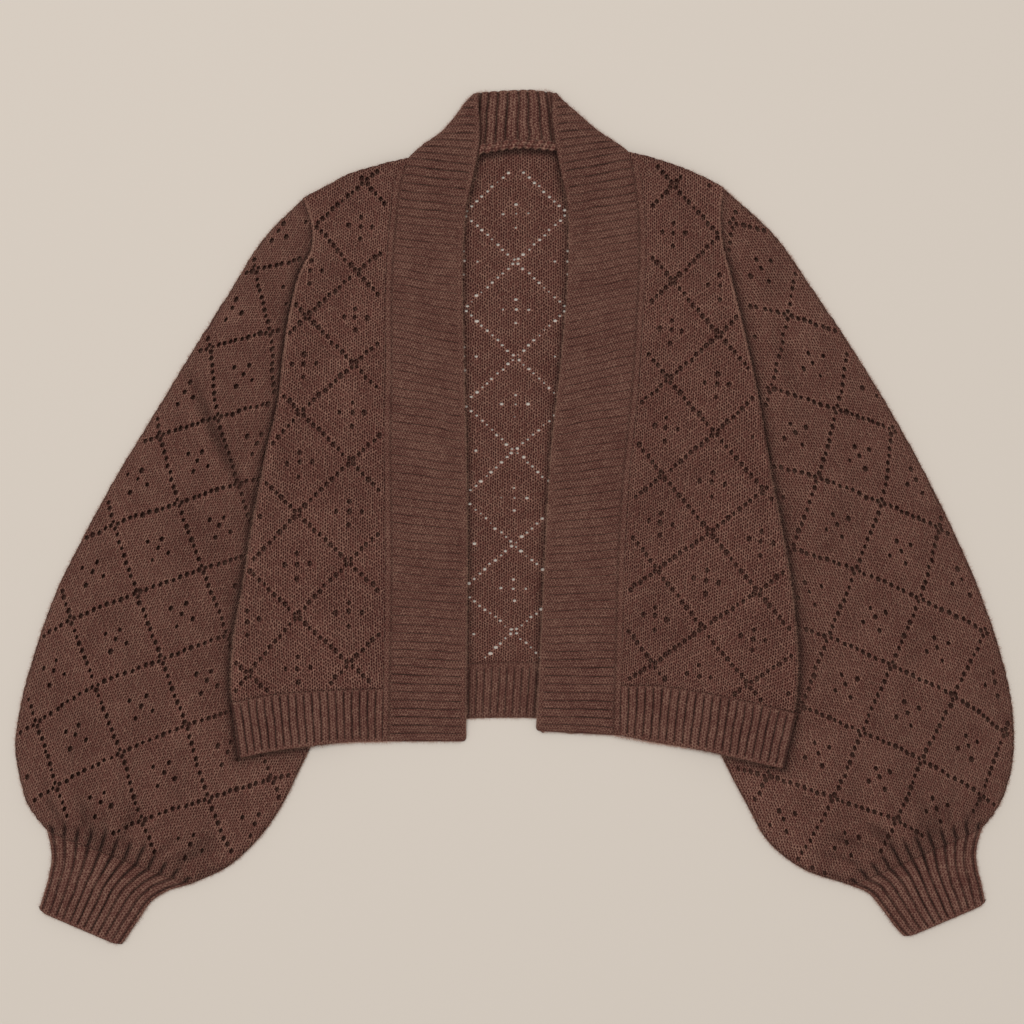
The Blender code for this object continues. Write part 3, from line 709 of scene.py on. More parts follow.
def makeFront(name, side):
    foot = evenly(side["hemTop"], 46) + (0, 0.2)
    edge = edgeRows(side, side["hemTop"][-1][1], side["shoulder"][-1][1], inset=frontLook["inset"])
    shoulder = roughEdge(evenly(side["shoulder"], 44, 1, 0), 0.22, 3)
    seamRows = [r for r in side["bandSeam"] if side["hemTop"][0][1] < r[1] <= side["shoulder"][0][1]]
    seam = evenly([side["hemTop"][0]] + seamRows, 150, 1, 0)
    seam[:, 0] += np.maximum(ridgeWidth(side, seam[:, 1]) - 0.6, -0.25)
    foot = foot[foot[:, 0] > seam[-1, 0] + 1]
    shoulder = shoulder[shoulder[:, 0] > seam[0, 0] + 1]
    outline = np.vstack([foot, edge[1:-1], shoulder, seam])
    places, turn, toNet = netOf(side["frontNet"], (-1, 5), (-2, 7), 10)
    eyelets = eyeletRows(places, turn, 11, wide=frontLook["eyelets"], tall=frontLook["eyelets"])
    flat, faces, rim, fromEdge = sheetMesh(outline, eyelets, frontLook["spacing"])
    out, up = flat.T
    free = toLine(flat, edge)
    low = bodyLift(out, up, side) / lay["bodyLift"]
    depth, reach = (least + more * low for least, more in (frontLook["rollDepth"], frontLook["rollReach"]))
    z = frontUnder(out, up, side) + lay["wall"] + frontLook["above"]
    z -= depth * (1 - roundEdge(free, reach))
    z += rimHeight(rim) + frontLook["wave"] * softNoise(95, out / 30, up / 40) * smoothStep(0, 12, fromEdge)
    shade = frontLook["tone"] * rimShade(rim) * (1 + 0.07 * softNoise(97, out / 20, up / 34))
    # painted light along the rolled side edge
    shade = shade * (1 + 0.14 * bell(free, 4.5, 4))
    places = np.column_stack([out * side["sign"], up, z])
    return makeCloth(
        "front_" + name, places, faceUp(places, faces), stitchesOf(toNet, flat), shade,
        eyeletKnit, frontLook["wall"], ["front_panel_" + name])


def backLift(x, y):
    return np.where(x > 0, bodyLift(np.abs(x), y, sides["left"]), bodyLift(np.abs(x), y, sides["right"]))


def bandGap(x, y):  # how far a place is from the bands' free edges, more than 0 between them
    return np.where(x > 0, outAt(sides["left"]["bandFree"], y), outAt(sides["right"]["bandFree"], y)) - np.abs(x)


backLook = {
    "wall": 1.3,
    "spacing": 3.2,
    "eyelets": (0.88, 0.52),
    "closed": (0.2, 0.7),  # the share of eyelets that are drawn together, and how much of their size is left
    "open": (62, 293),  # eyelets no further out, under the bands, and no higher, at the neck
    "pitch": (44.2, 40),  # of the net, from column to column and half a row
    "inset": 1.5,
    "tone": 1.12,
    # painted shade on the back where the bands and fronts lie over it
    "coveredShade": 0.8,
}


def makeBack():
    right, left = sides["right"], sides["left"]
    foot = evenly(backHemTop, 150) + (0, 0.02)
    edgeLeft = edgeRows(left, backHemTop[-1][1], left["shoulder"][-1][1], inset=backLook["inset"])
    edgeRight = edgeRows(right, backHemTop[0][1], right["shoulder"][-1][1], inset=backLook["inset"]) * (-1, 1)
    shoulderLeft = evenly(left["shoulder"], 30, 1, 0)
    shoulderRight = evenly(right["shoulder"], 30) * (-1, 1)
    neck = evenly(neckLine, 50, 1, 0) - (0, 2.4)
    outline = np.vstack([foot[1:-1], edgeLeft, shoulderLeft[1:], neck, shoulderRight[:-1], edgeRight[::-1]])
    wide, half = backLook["pitch"]
    rows = [(c, r + 0.5 * (c % 2), c * wide + x0, y0 - half * (c % 2)) for c in range(-5, 6) for r, x0, y0 in backNet]
    places, turn, toNet = netOf(rows, (-5, 6), (-3, 7), 10)
    eyelets = eyeletRows(places, turn, 5, *backLook["eyelets"])
    share, size = backLook["closed"]
    eyelets[:, 2:4] *= np.where(np.random.RandomState(6).uniform(0, 1, len(eyelets)) < share, size, 1)[:, None]
    keep = (np.abs(eyelets[:, 0]) < backLook["open"][0]) & (eyelets[:, 1] < backLook["open"][1])
    flat, faces, rim, _ = sheetMesh(outline, eyelets[keep], backLook["spacing"])
    x, y = flat.T
    z = backLift(x, y) + lay["wall"] + 0.7 * rimHeight(rim)
    gap = bandGap(x, y)
    covered = smoothStep(0, 6, -gap)
    shade = (rimShade(rim) + 1.5 * (rim < 1.15)) * (1 - 0.4 * smoothStep(8, 0.5, gap))  # painted shadow beside the bands, and painted light on each eyelet's edge and wall
    # more painted shadow right at the bands' edges
    shade = shade * (1 - 0.4 * smoothStep(2.5, 0, gap))
    # painted shadow under the neck roll
    shade = backLook["tone"] * shade * (1 - 0.68 * smoothStep(7.5, 2.5, toLine(flat, neck)))
    shade = between(shade, backLook["coveredShade"], covered)
    return makeCloth(
        "back", np.column_stack([x, y, z]), faceUp(flat, faces), stitchesOf(toNet, flat), shade,
        eyeletKnit, backLook["wall"], ["back_panel"], inner=purlSide)


sleeveLook = {
    "wall": 1.3,
    "spacing": (3.2, 4.5),  # of the points of the layer on top and of the one under it
    "eyelets": (0.84, 0.94),
    "plainFoot": 15,  # no eyelets this near the cuff
    "puff": 3.0,  # how far the top layer rises away from its edges
    "puffReach": 42,
    "puffShoulder": 24,
    "pleats": 8,
    "ribsRunOn": (6, 15),  # how far the cuff's ribs run on at the sleeve's sides, and how much more in its middle
    "ribRise": 1.3,
    "pleatRise": 1.5,
    "tone": 1.11,
    "weld": 0.00002,  # metres
}


def makeSleeve(name, side):
    outer = evenly(side["sleeveOuter"], 200)
    cuffLine = np.linspace(side["sleeveOuter"][-1], side["sleeveInner"][-1], 46)
    inner = evenly(side["sleeveInner"], 170, 1, 0)
    armhole = edgeRows(side, side["sleeveInner"][0][1], side["shoulder"][-1][1]) + (0.2, 0)
    outer = roughEdge(outer, 0.25, 7)
    outline = np.vstack([outer, cuffLine[1:], inner[1:], armhole[1:-1]])
    places, turn, toNet = netOf(side["sleeveNet"], (-6, 7), (-6, 6), 10)
    eyelets = eyeletRows(places, turn, 21, *sleeveLook["eyelets"])
    eyelets = eyelets[toLine(eyelets[:, :2], cuffLine) > sleeveLook["plainFoot"]]
    covered = (eyelets[:, 1] < 40) & (eyelets[:, 0] < outAt(side["edge"], eyelets[:, 1]) - 4)  # under the body
    covered &= eyelets[:, 1] > upAt(side["hemFoot"], eyelets[:, 0]) + 4
    layers = []
    half = lay["sleeveFlat"] / 2
    for isTop in (True, False):
        if isTop:
            flat, faces, rim, _ = sheetMesh(outline, eyelets[~covered], sleeveLook["spacing"][0], cuffLine)
        else:
            flat, faces, rim, _ = sheetMesh(outline, eyelets[:0], sleeveLook["spacing"][1])
        out, up = flat.T
        dOuter, dInner = toLine(flat, outer), toLine(flat, inner)
        fold = np.minimum(dOuter, dInner)  # how far from where the tube turns over
        bulge = half * roundEdge(fold, half)
        # how far out from under the body
        clear = np.maximum(out - outAt(side["edge"], up), upAt(side["hemFoot"], out) - up)
        swell = sleeveLook["puff"] * smoothStep(2, sleeveLook["puffReach"], clear)
        swell *= smoothStep(0, sleeveLook["puffShoulder"], dOuter) * smoothStep(0, sleeveLook["puffShoulder"], dInner)
        swell = swell * (1 + 0.16 * softNoise(91, out / 34, up / 46))
        crease, dark = creaseDepth(out, up, side)
        swell = np.maximum(swell - crease * smoothStep(0, 8, clear), 0)
        fromCuff = toLine(flat, cuffLine)
        share = dOuter / np.maximum(dOuter + dInner, 1e-6)
        bent = share + 0.02 * np.sin(fromCuff / 11) + 0.01 * softNoise(86, share * 5, fromCuff / 14)
        pleats = np.abs(np.sin(sleeveLook["pleats"] * np.pi * bent))
        rib = share * (cuffLook["ribs"] - 1) + 0.5
        least, more = sleeveLook["ribsRunOn"]
        taken = (least + more * (1 - (2 * share - 1) ** 2)) * (1 + 0.3 * softNoise(87, np.round(rib), 0.5))
        groove = (1 - ribShape(rib, 0.15)) * (1 - smoothStep(0.5, 1.15, fromCuff / taken))
        near = 1 - smoothStep(0.6, 1.3, fromCuff / taken)
        gather = sleeveLook["ribRise"] * near * (1 - groove)
        gather = gather + sleeveLook["pleatRise"] * (1 - near) * (1 - smoothStep(10, 70, fromCuff)) * pleats
        z = half - bulge
        shade = np.ones(len(flat))
        if isTop:
            z = half + bulge + (swell + gather + rimHeight(rim)) * (fold > 0.01)
            # painted shade in the pleats' valleys and in the grooves where the cuff's ribs run on, and a little darker
            # where they run on
            valley = (1 - smoothStep(0.1, 0.8, pleats)) * (1 - smoothStep(12, 60, fromCuff))
            shade = rimShade(rim) * (1 - 0.3 * (1 - near) * valley) * (1 - 0.85 * groove) * (1 - 0.12 * near)
            low = 1 - 0.75 * smoothStep(205, 262, up)  # the shadow beside the body fades out at the shoulder
            shade = shade * (1 - 0.28 * low * smoothStep(14, 0, clear))
            # a narrower painted shadow beside the body, then painted shade in the creases and painted light on the
            # ridges
            shade = shade * (1 - 0.58 * low * smoothStep(5.5, 0.5, clear)) * (1 - dark)
            shade = sleeveLook["tone"] * shade * (1 + 0.08 * softNoise(93, out / 22, up / 34))
        laid = np.column_stack([out * side["sign"], up, z])
        turned = faceUp(laid, faces)
        layers.append((laid, turned if isTop else turned[:, ::-1], stitchesOf(toNet, flat), shade))
    laid, faces, stitches, shade = zip(*layers)
    piece = makeCloth(
        "sleeve_piece_" + name, np.vstack(laid), np.vstack([faces[0], faces[1] + len(laid[0])]), np.vstack(stitches),
        np.concatenate(shade), sleeveKnit, sleeveLook["wall"], ["sleeve_" + name], inner=sleeveInside)
    welded = bmesh.new()  # joins the two layers along the folds
    welded.from_mesh(piece.data)
    bmesh.ops.remove_doubles(welded, verts=welded.verts, dist=sleeveLook["weld"])
    welded.to_mesh(piece.data)
    welded.free()
    return piece


def ribShape(position, groove, power=2):  # 1 on a rib's top and 0 in the groove at each whole number
    gap = np.abs(position - np.round(position))
    return 1 - np.exp(-((gap / groove) ** power))


def ribSteps(count):  # steps along a ribbed strip, closer together at the grooves
    steps = np.array([0, 0.05, 0.1, 0.17, 0.3, 0.5, 0.7, 0.83, 0.9, 0.95])
    return np.append((np.arange(count)[:, None] + steps).ravel(), count) / count


def ribStitches(ribs, along, course=2.6):  # three wales to a rib
    return ribs * 3 + 0.5, along / course


# a ribbed strip from a grid of places, closed into a tube where it wraps
def makeRibbed(name, x, y, z, stitches, shade, wall, nodes, wrap=False, material=ribKnit):
    rows, columns = x.shape
    faces = gridFaces(rows, columns, wrap)
    places = np.column_stack([x.ravel(), y.ravel(), z.ravel()])
    a, b, c = (places[faces[len(faces) // 2, i]] for i in (0, 1, 2))
    if not wrap and np.cross(b - a, c - a)[2] < 0:
        faces = faces[:, ::-1]
    return makeCloth(
        name, places, faces, np.column_stack([np.broadcast_to(s, x.shape).ravel() for s in stitches]),
        np.broadcast_to(shade, x.shape).ravel(), material, wall, nodes)


hemLook = {
    "count": {"right": 19, "left": 21, "back": 76},
    "rows": {"front": 24, "back": 18},
    "groove": 0.10,
    "plainEdge": 2.8,
    "backDepth": 45,
    "sideReach": 4.5,
    "front": {
        "wall": 1.5, "rise": 1.2, "topDrop": 0.5, "topReach": 2.5, "footDrop": 2.0, "footReach": 2.6,
        "bend": 0.07, "scallop": 0.35, "inTop": 0, "seeds": (50, 51),
    },
    "back": {
        "wall": 1.3, "rise": 0.85, "topDrop": 0.75, "topReach": 6, "footDrop": 1.6, "footReach": 2.2,
        "bend": 0.05, "scallop": 0.3, "inTop": 1.8, "seeds": (55, 57),
    },
}


# a hem's places, its ribs, how deep their grooves are, and how far each place is from its foot
def hemStrip(look, count, foot, top, u, v, long, under):
    flat = between(foot[None], top[None], v[:, None, None])
    fromFoot, fromTop = v[:, None] * long, (1 - v)[:, None] * long
    first, seed = look["seeds"]
    p = u[None] * count + look["bend"] * softNoise(first, u[None] * count / 2, fromFoot / 9)
    start = 1.6 + 1.6 * softNoise(seed, np.round(p), 0.5)  # each groove starts at its own height
    stop = hemLook["plainEdge"] + 0.7 * softNoise(seed + 1, np.round(p), 0.5)
    broken = 0.85 + 0.15 * softNoise(seed + 2, np.round(p), fromFoot / 5)
    groove = (1 - ribShape(p, hemLook["groove"], 3)) * smoothStep(-1, 1, fromFoot - stop)
    groove = groove * smoothStep(-1.2, 1.2, fromTop - look["inTop"] - start) * broken
    out, up = flat[..., 0], flat[..., 1] - look["scallop"] * np.abs(np.cos(np.pi * p)) * smoothStep(4, 0, fromFoot)
    z = under(out, up) + lay["wall"] + look["rise"] * (1 - groove)
    z = z - look["topDrop"] * smoothStep(look["topReach"], 0, fromTop)
    z = z - look["footDrop"] * (1 - roundEdge(fromFoot, look["footReach"]))
    return out, up, z, p, groove, fromFoot


def makeFrontHem(name, side):
    look, count = hemLook["front"], hemLook["count"][name]
    u = ribSteps(count)
    v = np.concatenate([np.linspace(0, 0.12, 7), np.linspace(0.16, 1, hemLook["rows"]["front"] - 7)])
    start = np.array((seamRidge - 1.0, 0)) * (1 - u[:, None])
    foot, top = (lineAt(side[key], u) + start for key in ("hemFoot", "hemTop"))
    long = np.linalg.norm(top - foot, axis=1)[None]
    out, up, z, p, groove, fromFoot = hemStrip(
        look, count, foot, top, u, v, long, lambda out, up: frontUnder(out, up, side))
    ends = evenly([side["hemFoot"][-1], side["hemTop"][-1]], 5)
    edgeGap = toLine(np.column_stack([out.ravel(), up.ravel()]), ends).reshape(out.shape)
    z = z - look["footDrop"] * (1 - roundEdge(edgeGap, hemLook["sideReach"]))
    # painted shade in the grooves, and painted light along the rounded foot
    shade = 0.90 - 0.82 * groove + 0.13 * smoothStep(4, 1.5, fromFoot)
    return makeRibbed(
        "hem_" + name, out * side["sign"], up, z, ribStitches(p, fromFoot), shade,
        look["wall"], ["hem_front_" + name])


def makeBackHem():
    look, count = hemLook["back"], hemLook["count"]["back"]
    u, v = np.linspace(0, 1, count * 8 + 1), np.linspace(0, 1, hemLook["rows"]["back"])
    x, y, z, p, groove, fromFoot = hemStrip(
        look, count, lineAt(backHemFoot, u), lineAt(backHemTop, u), u, v, hemLook["backDepth"], backLift)
    # painted shade in the grooves, and painted shadow beside the bands
    shade = (0.86 - 0.74 * groove) * (1 - 0.4 * smoothStep(8, 0.5, bandGap(x, y)))
    return makeRibbed("hem_of_back", x, y, z, ribStitches(p, fromFoot), shade, look["wall"], ["hem_back"])


bandLook = {
    "count": 80,
    "wide": 60,
    "wall": 1.6,
    "rise": 1.1,
    "pressedRise": 0.5,
    "groove": 0.075,
    "pressedGroove": 0.062,
    "selvedge": 4.2,  # width of the raised free edge
    "selvedgeRise": 1.15,
    "corner": 3.6,
    "footReach": 2.4,
    "footDrop": 1.6,
    "turnDrop": 3.6,  # where the strip turns over at the side of the neck
    "turnReach": 10,
    "lowest": 1.65,
    "course": 2.4,
}


def makeBand(name, side):
    count = bandLook["count"]
    v = ribSteps(count)
    level = 0.024 * smoothStep(0.55, 0.85, v) * smoothStep(1, 0.9, v)  # the ribs lie more level towards the neck
    seam, free = lineAt(side["bandSeam"], v - level), lineAt(side["bandFree"], v)
    shoulderUp = side["shoulder"][0][1]
    turned = smoothStep(shoulderUp, shoulderUp + 10, seam[:, 1]) * smoothStep(1, 0.985, v)
    ahead = np.gradient(seam, axis=0)
    ahead = np.column_stack([ahead[:, 1], -ahead[:, 0]]) / np.linalg.norm(ahead, axis=1)[:, None]
    bump = 0.5 * (np.abs(np.sin(np.pi * v * count)) - 0.4) + 0.5 * softNoise(33, v * count / 4, 0.5)
    seam = seam - (0.3, 0) + ahead * (bump * turned)[:, None]
    rounded = 1 - roundEdge(free[:, 1] - free[0, 1], bandLook["corner"])
    free = free + bandLook["corner"] * rounded[:, None] * (seam - free) / np.linalg.norm(seam - free, axis=1)[:, None]
    width, ridge = np.linalg.norm(seam - free, axis=1)[:, None], ridgeWidth(side, seam[:, 1])[:, None]
    direction = (seam - free) / width
    inner = np.linspace(0, bandLook["selvedge"], 7) / bandLook["wide"]
    inner = np.concatenate([inner, np.linspace(0.085, 0.95, 16), np.linspace(0.962, 1, 5)])
    outer = np.linspace(0.12, 1, 7)
    flat = np.concatenate([
        free[:, None] + (seam - free)[:, None] * inner[None, :, None],
        seam[:, None] + direction[:, None] * ridge[..., None] * outer[None, :, None]], axis=1)
    distance = np.concatenate([width * inner[None], width + ridge * outer[None]], axis=1)
    out, up = flat[..., 0], flat[..., 1]
    p = (v * count)[:, None] + 0.10 * softNoise(31, distance / 12, (v * count / 2.3)[:, None])
    fresh = 1 - smoothStep(-150, -105, up)  # the ribs stand up crisply near the foot, and lie pressed above
    towardTop = smoothStep(225, 300, up)
    sharp = bandLook["pressedGroove"] + (bandLook["groove"] - bandLook["pressedGroove"]) * fresh + 0.04 * towardTop
    broken = 0.68 + 0.32 * softNoise(37, distance / 8, np.round(p) * 1.37)
    groove = 1 - ribShape(p, sharp * 1.1, 3)
    onBand = smoothStep(3.0, 5.6, distance) * smoothStep(0.4, 3.0, width - distance)
    rise = bandLook["pressedRise"] + (bandLook["rise"] - bandLook["pressedRise"]) * np.maximum(fresh, 0.6 * towardTop)
    z = frontUnder(out, up, side) + lay["wall"]
    z = z + (rise * (1 - groove * broken) + 0.25) * onBand
    z = z + bandLook["selvedgeRise"] * np.sin(np.pi * np.clip(distance / bandLook["selvedge"], 0, 1)) ** 0.8
    z = z - (1 - smoothStep(0, 1.4, distance))
    link = bell(distance - width, -0.4, 0.9) * (ridge > 0.6)
    across = np.clip((distance - width) / np.maximum(ridge, 0.01), 0, 1)
    linked = 0.6 + 0.4 * softNoise(41, up / 3.1, across)
    z = z - 0.45 * link + 0.7 * linked * np.sin(np.pi * across) ** 0.7 * (ridge > 0.6)
    z = z - 0.25 * (across > 0.98)
    fromTurn = width + ridge - distance
    turning = smoothStep(shoulderUp - 4, shoulderUp + 12, up)
    z = z - turning * bandLook["turnDrop"] * (1 - smoothStep(0, bandLook["turnReach"], fromTurn))
    footGap = up - np.minimum(seam[0, 1], free[0, 1])
    z = z - bandLook["footDrop"] * (1 - roundEdge(footGap, bandLook["footReach"]))
    z = np.maximum(z, bandLook["lowest"])
    tops = np.abs(p - np.round(p))
    # painted light on the rib tops beside the grooves, painted shade in the grooves and in the dip at the seam, and
    # painted light along the raised free edge and on the seam's ridge
    shade = 0.87 + 0.12 * bell(tops, 0.2, 0.08) * broken * onBand
    shade = shade - (0.66 + 0.14 * fresh) * groove * broken * onBand
    shade = shade * (1 - 0.5 * link * (0.6 + 0.4 * softNoise(43, up / 2.4, 0.5)))
    shade = shade + 0.07 * bell(distance, 2.4, 1.3) + 0.06 * np.sin(np.pi * across)
    return makeRibbed(
        "band_" + name, out * side["sign"], up, z, ribStitches(p, distance, bandLook["course"]), shade,
        bandLook["wall"], ["front_band_" + name], material=bandKnit)


collarLook = {
    "valleysAbove": (-34, -28.5, -22, -14, -6, 3.7, 11.3, 20, 27, 33, 38.5),
    "valleysBelow": (-40, -33.5, -25.5, -16.5, -8, 2.6, 12.2, 23.5, 32, 40, 47),
    "pitch": 6.6,  # of the ribs under the bands
    "rise": 1.05,
    "wall": 1.2,
    "groove": 0.13,
    "topReach": 3.0,
    "topDrop": 1.4,
    "lowest": 1.25,
    "under": ((-79, 85), (-76, 82)),  # how far the strip runs on under the bands, at its top and at its foot
}


def makeCollarBack():
    above, below = (np.array(collarLook[key], float) for key in ("valleysAbove", "valleysBelow"))
    hidden = collarLook["pitch"] * np.arange(1, 7)
    above = np.concatenate([above[0] - hidden[::-1], above, above[-1] + hidden])
    below = np.concatenate([below[0] - hidden[::-1], below, below[-1] + hidden])
    count = len(above) - 1
    p = ribSteps(count) * count
    v = np.linspace(0, 1, 26)[:, None]
    xAbove, xBelow = np.interp(p, np.arange(count + 1), above), np.interp(p, np.arange(count + 1), below)
    inside = [(low < x) & (x < high) for x, (low, high) in zip((xAbove, xBelow), collarLook["under"])]
    p, xAbove, xBelow = (values[inside[0] & inside[1]] for values in (p, xAbove, xBelow))
    foot = upAt(neckLine, xBelow) + 1.6
    top = np.interp(xAbove, *np.array(collarTop).T)
    x, y = between(xBelow, xAbove, v), between(foot, top, v)
    p = p[None] + 0.08 * softNoise(61, p[None] / 2, v * 5)
    deep = 0.8 + 0.2 * softNoise(62, np.round(p) * 1.7, v * 3)
    groove = (1 - ribShape(p, collarLook["groove"], 3)) * deep
    fromTop = top[None] - y
    z = lay["wall"] + collarLook["rise"] * (1 - groove) * (0.35 + 0.65 * smoothStep(0, 0.14, v))
    z = z - collarLook["topDrop"] * (1 - roundEdge(fromTop, collarLook["topReach"]))
    z = np.maximum(z, collarLook["lowest"])
    y = y + 0.7 * (np.abs(np.sin(np.pi * p)) - 0.5) * smoothStep(4, 0, fromTop)
    # painted shade in the grooves, and painted shadow under the bands' edges
    shade = (0.89 - 0.76 * groove) * (1 - 0.5 * smoothStep(5, -1, bandGap(x, y)))
    return makeRibbed("collar_behind_neck", x, y, z, ribStitches(p, y), shade, collarLook["wall"], ["collar_back"])


rollLook = {
    "beads": 23,
    "halfWidth": 4.3,
    "halfHeight": 2.6,
    "middle": 2.5,
    "lowest": 0.15,
    "up": 1.5,  # from the neck line
    "wall": 1.0,
    "around": 14,  # corners of its cross-section
}


def makeNeckRoll():
    steps = rollLook["beads"] * 10
    line = evenly(neckLine, steps + 1) + (0, rollLook["up"])
    ahead = np.gradient(line, axis=0)
    ahead /= np.linalg.norm(ahead, axis=1)[:, None]
    angle = np.linspace(0, 2 * np.pi, rollLook["around"], endpoint=False)
    turn = np.linspace(0, 2 * np.pi * rollLook["beads"], steps + 1)
    swell = 1 + 0.12 * np.cos(turn[:, None] - 2.2 * np.cos(angle)[None] + 0.6 * softNoise(71, turn[:, None] / 9, 0.5))
    x = line[:, 0:1] - ahead[:, 1:2] * rollLook["halfWidth"] * np.cos(angle)[None] * swell
    y = line[:, 1:2] + ahead[:, 0:1] * rollLook["halfWidth"] * np.cos(angle)[None] * swell
    z = np.maximum(rollLook["middle"] + rollLook["halfHeight"] * np.sin(angle)[None] * swell, rollLook["lowest"])
    shade = np.clip(0.62 + 0.58 * (swell - 0.88) / 0.24, 0, 1.25)  # painted light on each bead's swell and its top, and painted shade on its underside
    shade = shade * (0.55 + 0.45 * smoothStep(-0.2, 0.8, np.sin(angle)))[None]
    stitches = (angle[None] / 6.2832 * 6, turn[:, None] / 6.2832 * 2.4)
    return makeRibbed("neck_roll", x, y, z, stitches, shade, rollLook["wall"], ["neck_seam_roll"], wrap=True)


cuffLook = {
    "ribs": 13,
    "wall": 1.3,
    "groove": 0.12,
    "rise": 1.3,
    "plainEdge": 2.0,
    "corner": 3.2,
    "footReach": 2.6,
    "footSqueeze": 0.45,
    "roundness": 7,  # the higher, the flatter the tube and the sharper its folds
}


def makeCuff(name, side):
    count = cuffLook["ribs"]
    v = np.concatenate([np.linspace(0, 0.9, 20), np.linspace(0.92, 1, 7)])[:, None]
    outer, inner = lineAt(side["cuffOuter"], v[:, 0]), lineAt(side["cuffInner"], v[:, 0])
    half = lay["sleeveFlat"] / 2
    shares = ribSteps(count)
    lowShares = shares[-2:0:-4]
    flat = outer[:, None] + (inner - outer)[:, None] * np.concatenate([shares, lowShares])[None, :, None]
    long = stepLengths(evenly(side["cuffOuter"], 60)).sum()
    fromFoot, fromTop = (1 - v) * long * np.ones_like(shares), v * long * np.ones_like(shares)
    p = 0.5 + shares[None] * (count - 1) + 0.05 * softNoise(81, shares[None] * 7, fromFoot / 9)
    start, stop = 1.2 * softNoise(83, np.round(p), 0.5), cuffLook["plainEdge"] + 0.6 * softNoise(84, np.round(p), 0.5)
    deep = 0.85 + 0.15 * softNoise(82, np.round(p), fromFoot / 7)
    groove = (1 - ribShape(p, cuffLook["groove"] * (1 + 0.3 * smoothStep(30, 0, fromTop)), 3)) * deep
    groove = groove * smoothStep(-1, 1, fromFoot - stop) * smoothStep(-1.2, 1.2, fromTop - start)
    onTop = smoothStep(0, 0.05, shares) * smoothStep(1, 0.95, shares)
    arch, lowArch = ((1 - np.abs(2 * s - 1) ** cuffLook["roundness"]) ** 0.5 for s in (shares, lowShares))
    zTop = half + half * arch[None] + cuffLook["rise"] * (1 - groove) * onTop[None]
    zLow = half - half * lowArch[None] * np.ones_like(v)
    z = np.concatenate([zTop, zLow], axis=1)
    squeeze = 1 - roundEdge((1 - v) * long, cuffLook["footReach"])
    z = half + (z - half) * (1 - cuffLook["footSqueeze"] * squeeze)
    fromMiddle = np.abs(2 * np.concatenate([shares, lowShares]) - 1)[None, :, None]
    tuck = cuffLook["corner"] * squeeze[..., None] * fromMiddle ** 16
    flat = flat - tuck * np.array([lineAt(side["cuffOuter"], 1.0) - lineAt(side["cuffOuter"], 0.9)]) / 6
    # painted shade in the grooves, and painted light along the rounded foot
    shade = np.concatenate([
        0.92 - 0.87 * groove + 0.13 * smoothStep(4, 1.5, fromFoot), np.ones((len(v), len(lowShares)))], axis=1)
    q = np.concatenate([p, (0.5 + lowShares * (count - 1))[None] * np.ones_like(v)], axis=1)
    piece = makeRibbed(
        "cuff_piece_" + name, flat[..., 0] * side["sign"], flat[..., 1], z, ribStitches(q, (1 - v) * long), shade,
        cuffLook["wall"], ["cuff_" + name], wrap=True)
    if side["sign"] < 0:
        piece.data.flip_normals()
    return piece


fuzzLook = {
    "perMillimetre": 6.5,
    "long": (0.9, 4.2),
    "wide": 0.10,
    "lean": 0.6,
    "bend": 0.7,
    "rootDepth": 0.5,
    "taper": ((0, 1.0), (0.5, 0.8), (1.0, 0.3)),  # shares of a fibre's length, and its width there
    "lowest": 0.2,
}


# loose fibres that stand out from the edges, each a thin bent ribbon
def makeFuzz(name, lines, seed):
    chance = np.random.RandomState(seed)
    places, faces = [], []
    for line, height in lines:
        steps = stepLengths(line)
        count = int(steps.sum() * fuzzLook["perMillimetre"])
        at = np.sort(chance.uniform(0, 1, count)) * steps.sum()
        lengths = np.concatenate([[0], np.cumsum(steps)])
        x, y = np.interp(at, lengths, line[:, 0]), np.interp(at, lengths, line[:, 1])
        ahead = np.gradient(line, axis=0)
        outward = np.arctan2(-ahead[:, 0], ahead[:, 1])
        side = np.interp(at, lengths, np.unwrap(outward))
        angle = side + chance.normal(0, fuzzLook["lean"], count)
        bend = chance.normal(0, fuzzLook["bend"], count)
        long = chance.uniform(*fuzzLook["long"], count) * chance.uniform(0.5, 1, count)
        root = np.column_stack([x, y, height + chance.uniform(-0.9, 0.9, count)])
        root[:, :2] -= fuzzLook["rootDepth"] * np.column_stack([np.cos(side), np.sin(side)])
        lift = chance.normal(0, 0.25, count)
        for share, width in fuzzLook["taper"]:
            turned = angle + bend * share
            middle = root + share * long[:, None] * np.column_stack([np.cos(turned), np.sin(turned), lift])
            middle[:, 2] = np.maximum(middle[:, 2], fuzzLook["lowest"])
            across = np.column_stack([-np.sin(turned), np.cos(turned), np.zeros(count)]) * fuzzLook["wide"] / 2 * width
            places += [middle - across, middle + across]
        first = sum(len(p) for p in places[:-6])
        for row in (0, 2):
            a = first + row * count + np.arange(count)
            faces.append(np.column_stack([a, a + count, a + 3 * count, a + 2 * count]))
    piece, _ = newPiece(name, np.vstack(places), np.vstack(faces), fuzzYarn)
    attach(piece, "root")


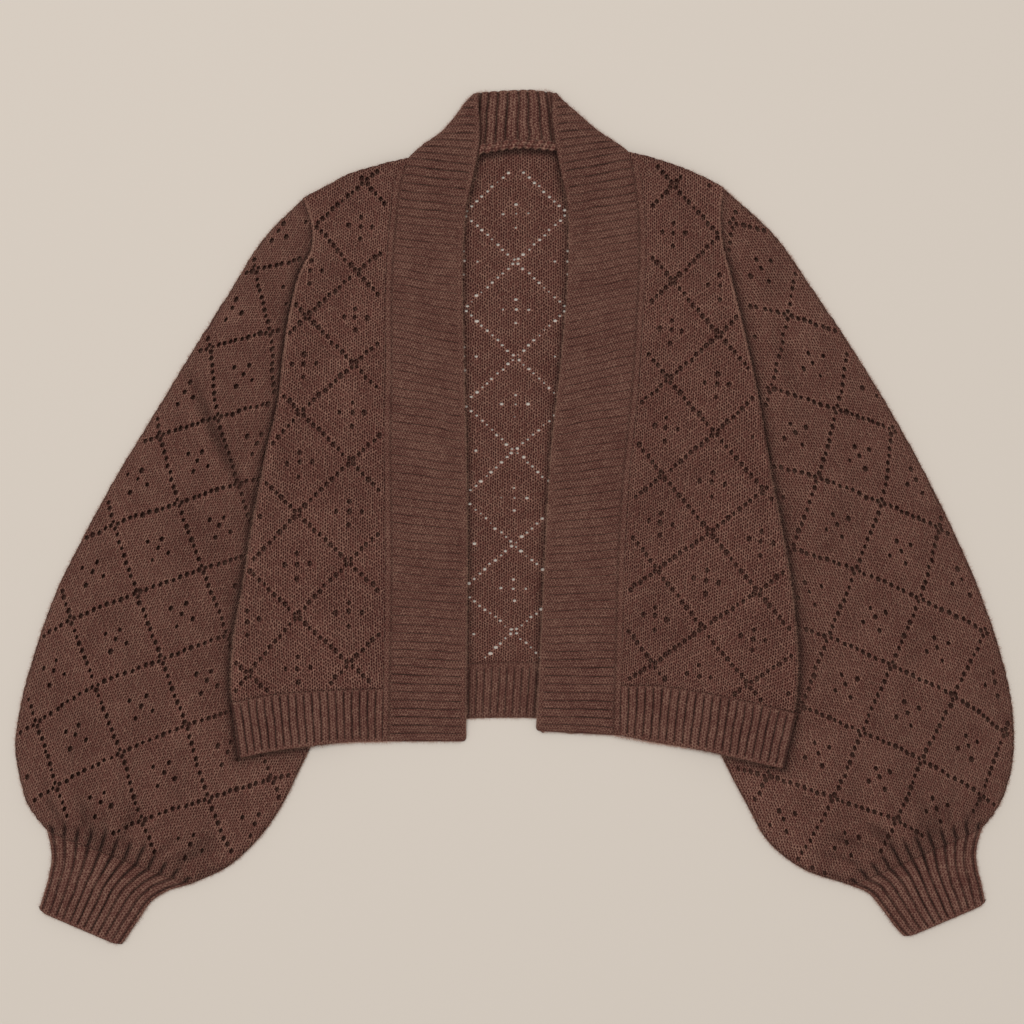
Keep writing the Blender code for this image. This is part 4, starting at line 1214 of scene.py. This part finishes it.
def edgeLines(side):  # the free edges of one side, each run with its outer face on its right
    rows = [
        (evenly(side["sleeveOuter"], 120), 2.4),
        (evenly(side["cuffOuter"], 20, 0, 0.95), 2.4),
        (evenly([side["cuffOuter"][-1], side["cuffInner"][-1]], 9, 0.05, 0.95), 2.6),
        (evenly(side["cuffInner"], 20, 0.95, 0), 2.4),
        (evenly([r for r in side["sleeveInner"] if r[1] < -165], 60, 1, 0), 2.4),
        (evenly(side["hemFoot"], 40, 1, 0), 3.4), (evenly(side["hemFoot"], 40, 1, 0), 6.5),
        (evenly(side["edge"], 90, 1, 0.1) - (2.2, 0), 8.6),
        (evenly([side["bandSeam"][0], side["bandFree"][0]], 9, 0, 0.93), 3.4),
        (evenly(side["bandFree"][:-3], 120, 0.01, 1) + (0.4, 0), 5.6),
        (evenly([r for r in side["bandSeam"] if r[1] >= side["shoulder"][0][1]], 30, 1, 0), 3.0),
        (evenly(side["shoulder"], 30), 4.0),
    ]
    return [(line[::-side["sign"]] * (side["sign"], 1), height) for line, height in rows]


def cutArea(piece):  # half of the thickened cloth's surface, in square metres
    evaluated = piece.evaluated_get(bpy.context.evaluated_depsgraph_get())
    mesh = evaluated.to_mesh()
    area = sum(f.area for f in mesh.polygons) / 2
    evaluated.to_mesh_clear()
    return area


made = {}
made["back"] = makeBack()
made["hem_of_back"] = makeBackHem()
made["collar"] = makeCollarBack()
made["roll"] = makeNeckRoll()
print("back ready")
for name, side in sides.items():
    made["sleeve_" + name] = makeSleeve(name, side)
    made["cuff_" + name] = makeCuff(name, side)
    made["front_" + name] = makeFront(name, side)
    made["hem_" + name] = makeFrontHem(name, side)
    made["band_" + name] = makeBand(name, side)
    makeFuzz("fuzz_" + name, edgeLines(side), 100 + side["sign"])
    print(name, "side ready")
backLines = [(evenly(collarTop, 60, 1, 0) - (0, 1.3), 2.2), (evenly(backHemFoot, 60, 0.3, 0.7), 2.0)]
makeFuzz("fuzz_back", backLines, 99)

# the cut of each piece in metres: width, length, flat area, and what it lies on
cuts = {
    "back": (0.485, 0.480, 0.184, []),
    "hem_of_back": (0.050, 0.485, None, []),
    "collar": (0.056, 0.165, 0.0064, []),
    "roll": (0.016, 0.165, None, ["back"]),
    "sleeve_right": (0.500, 0.580, 0.175, []),
    "sleeve_left": (0.500, 0.580, 0.182, []),
    "cuff_right": (0.190, 0.072, None, []),
    "cuff_left": (0.190, 0.068, None, []),
    "front_right": (0.137, 0.455, 0.0455, ["back", "sleeve_right"]),
    "front_left": (0.156, 0.455, 0.0510, ["back", "sleeve_left"]),
    "hem_right": (0.050, 0.140, None, ["hem_of_back"]),
    "hem_left": (0.050, 0.158, None, ["hem_of_back"]),
    "band_right": (0.072, 0.560, None, ["back", "hem_of_back", "collar"]),
    "band_left": (0.072, 0.560, None, ["back", "hem_of_back", "collar"]),
}
for key, (width, length, area, under) in cuts.items():
    print(made[key].name, "cloth", round(cutArea(made[key]), 5), "cut", area or round(width * length, 5))
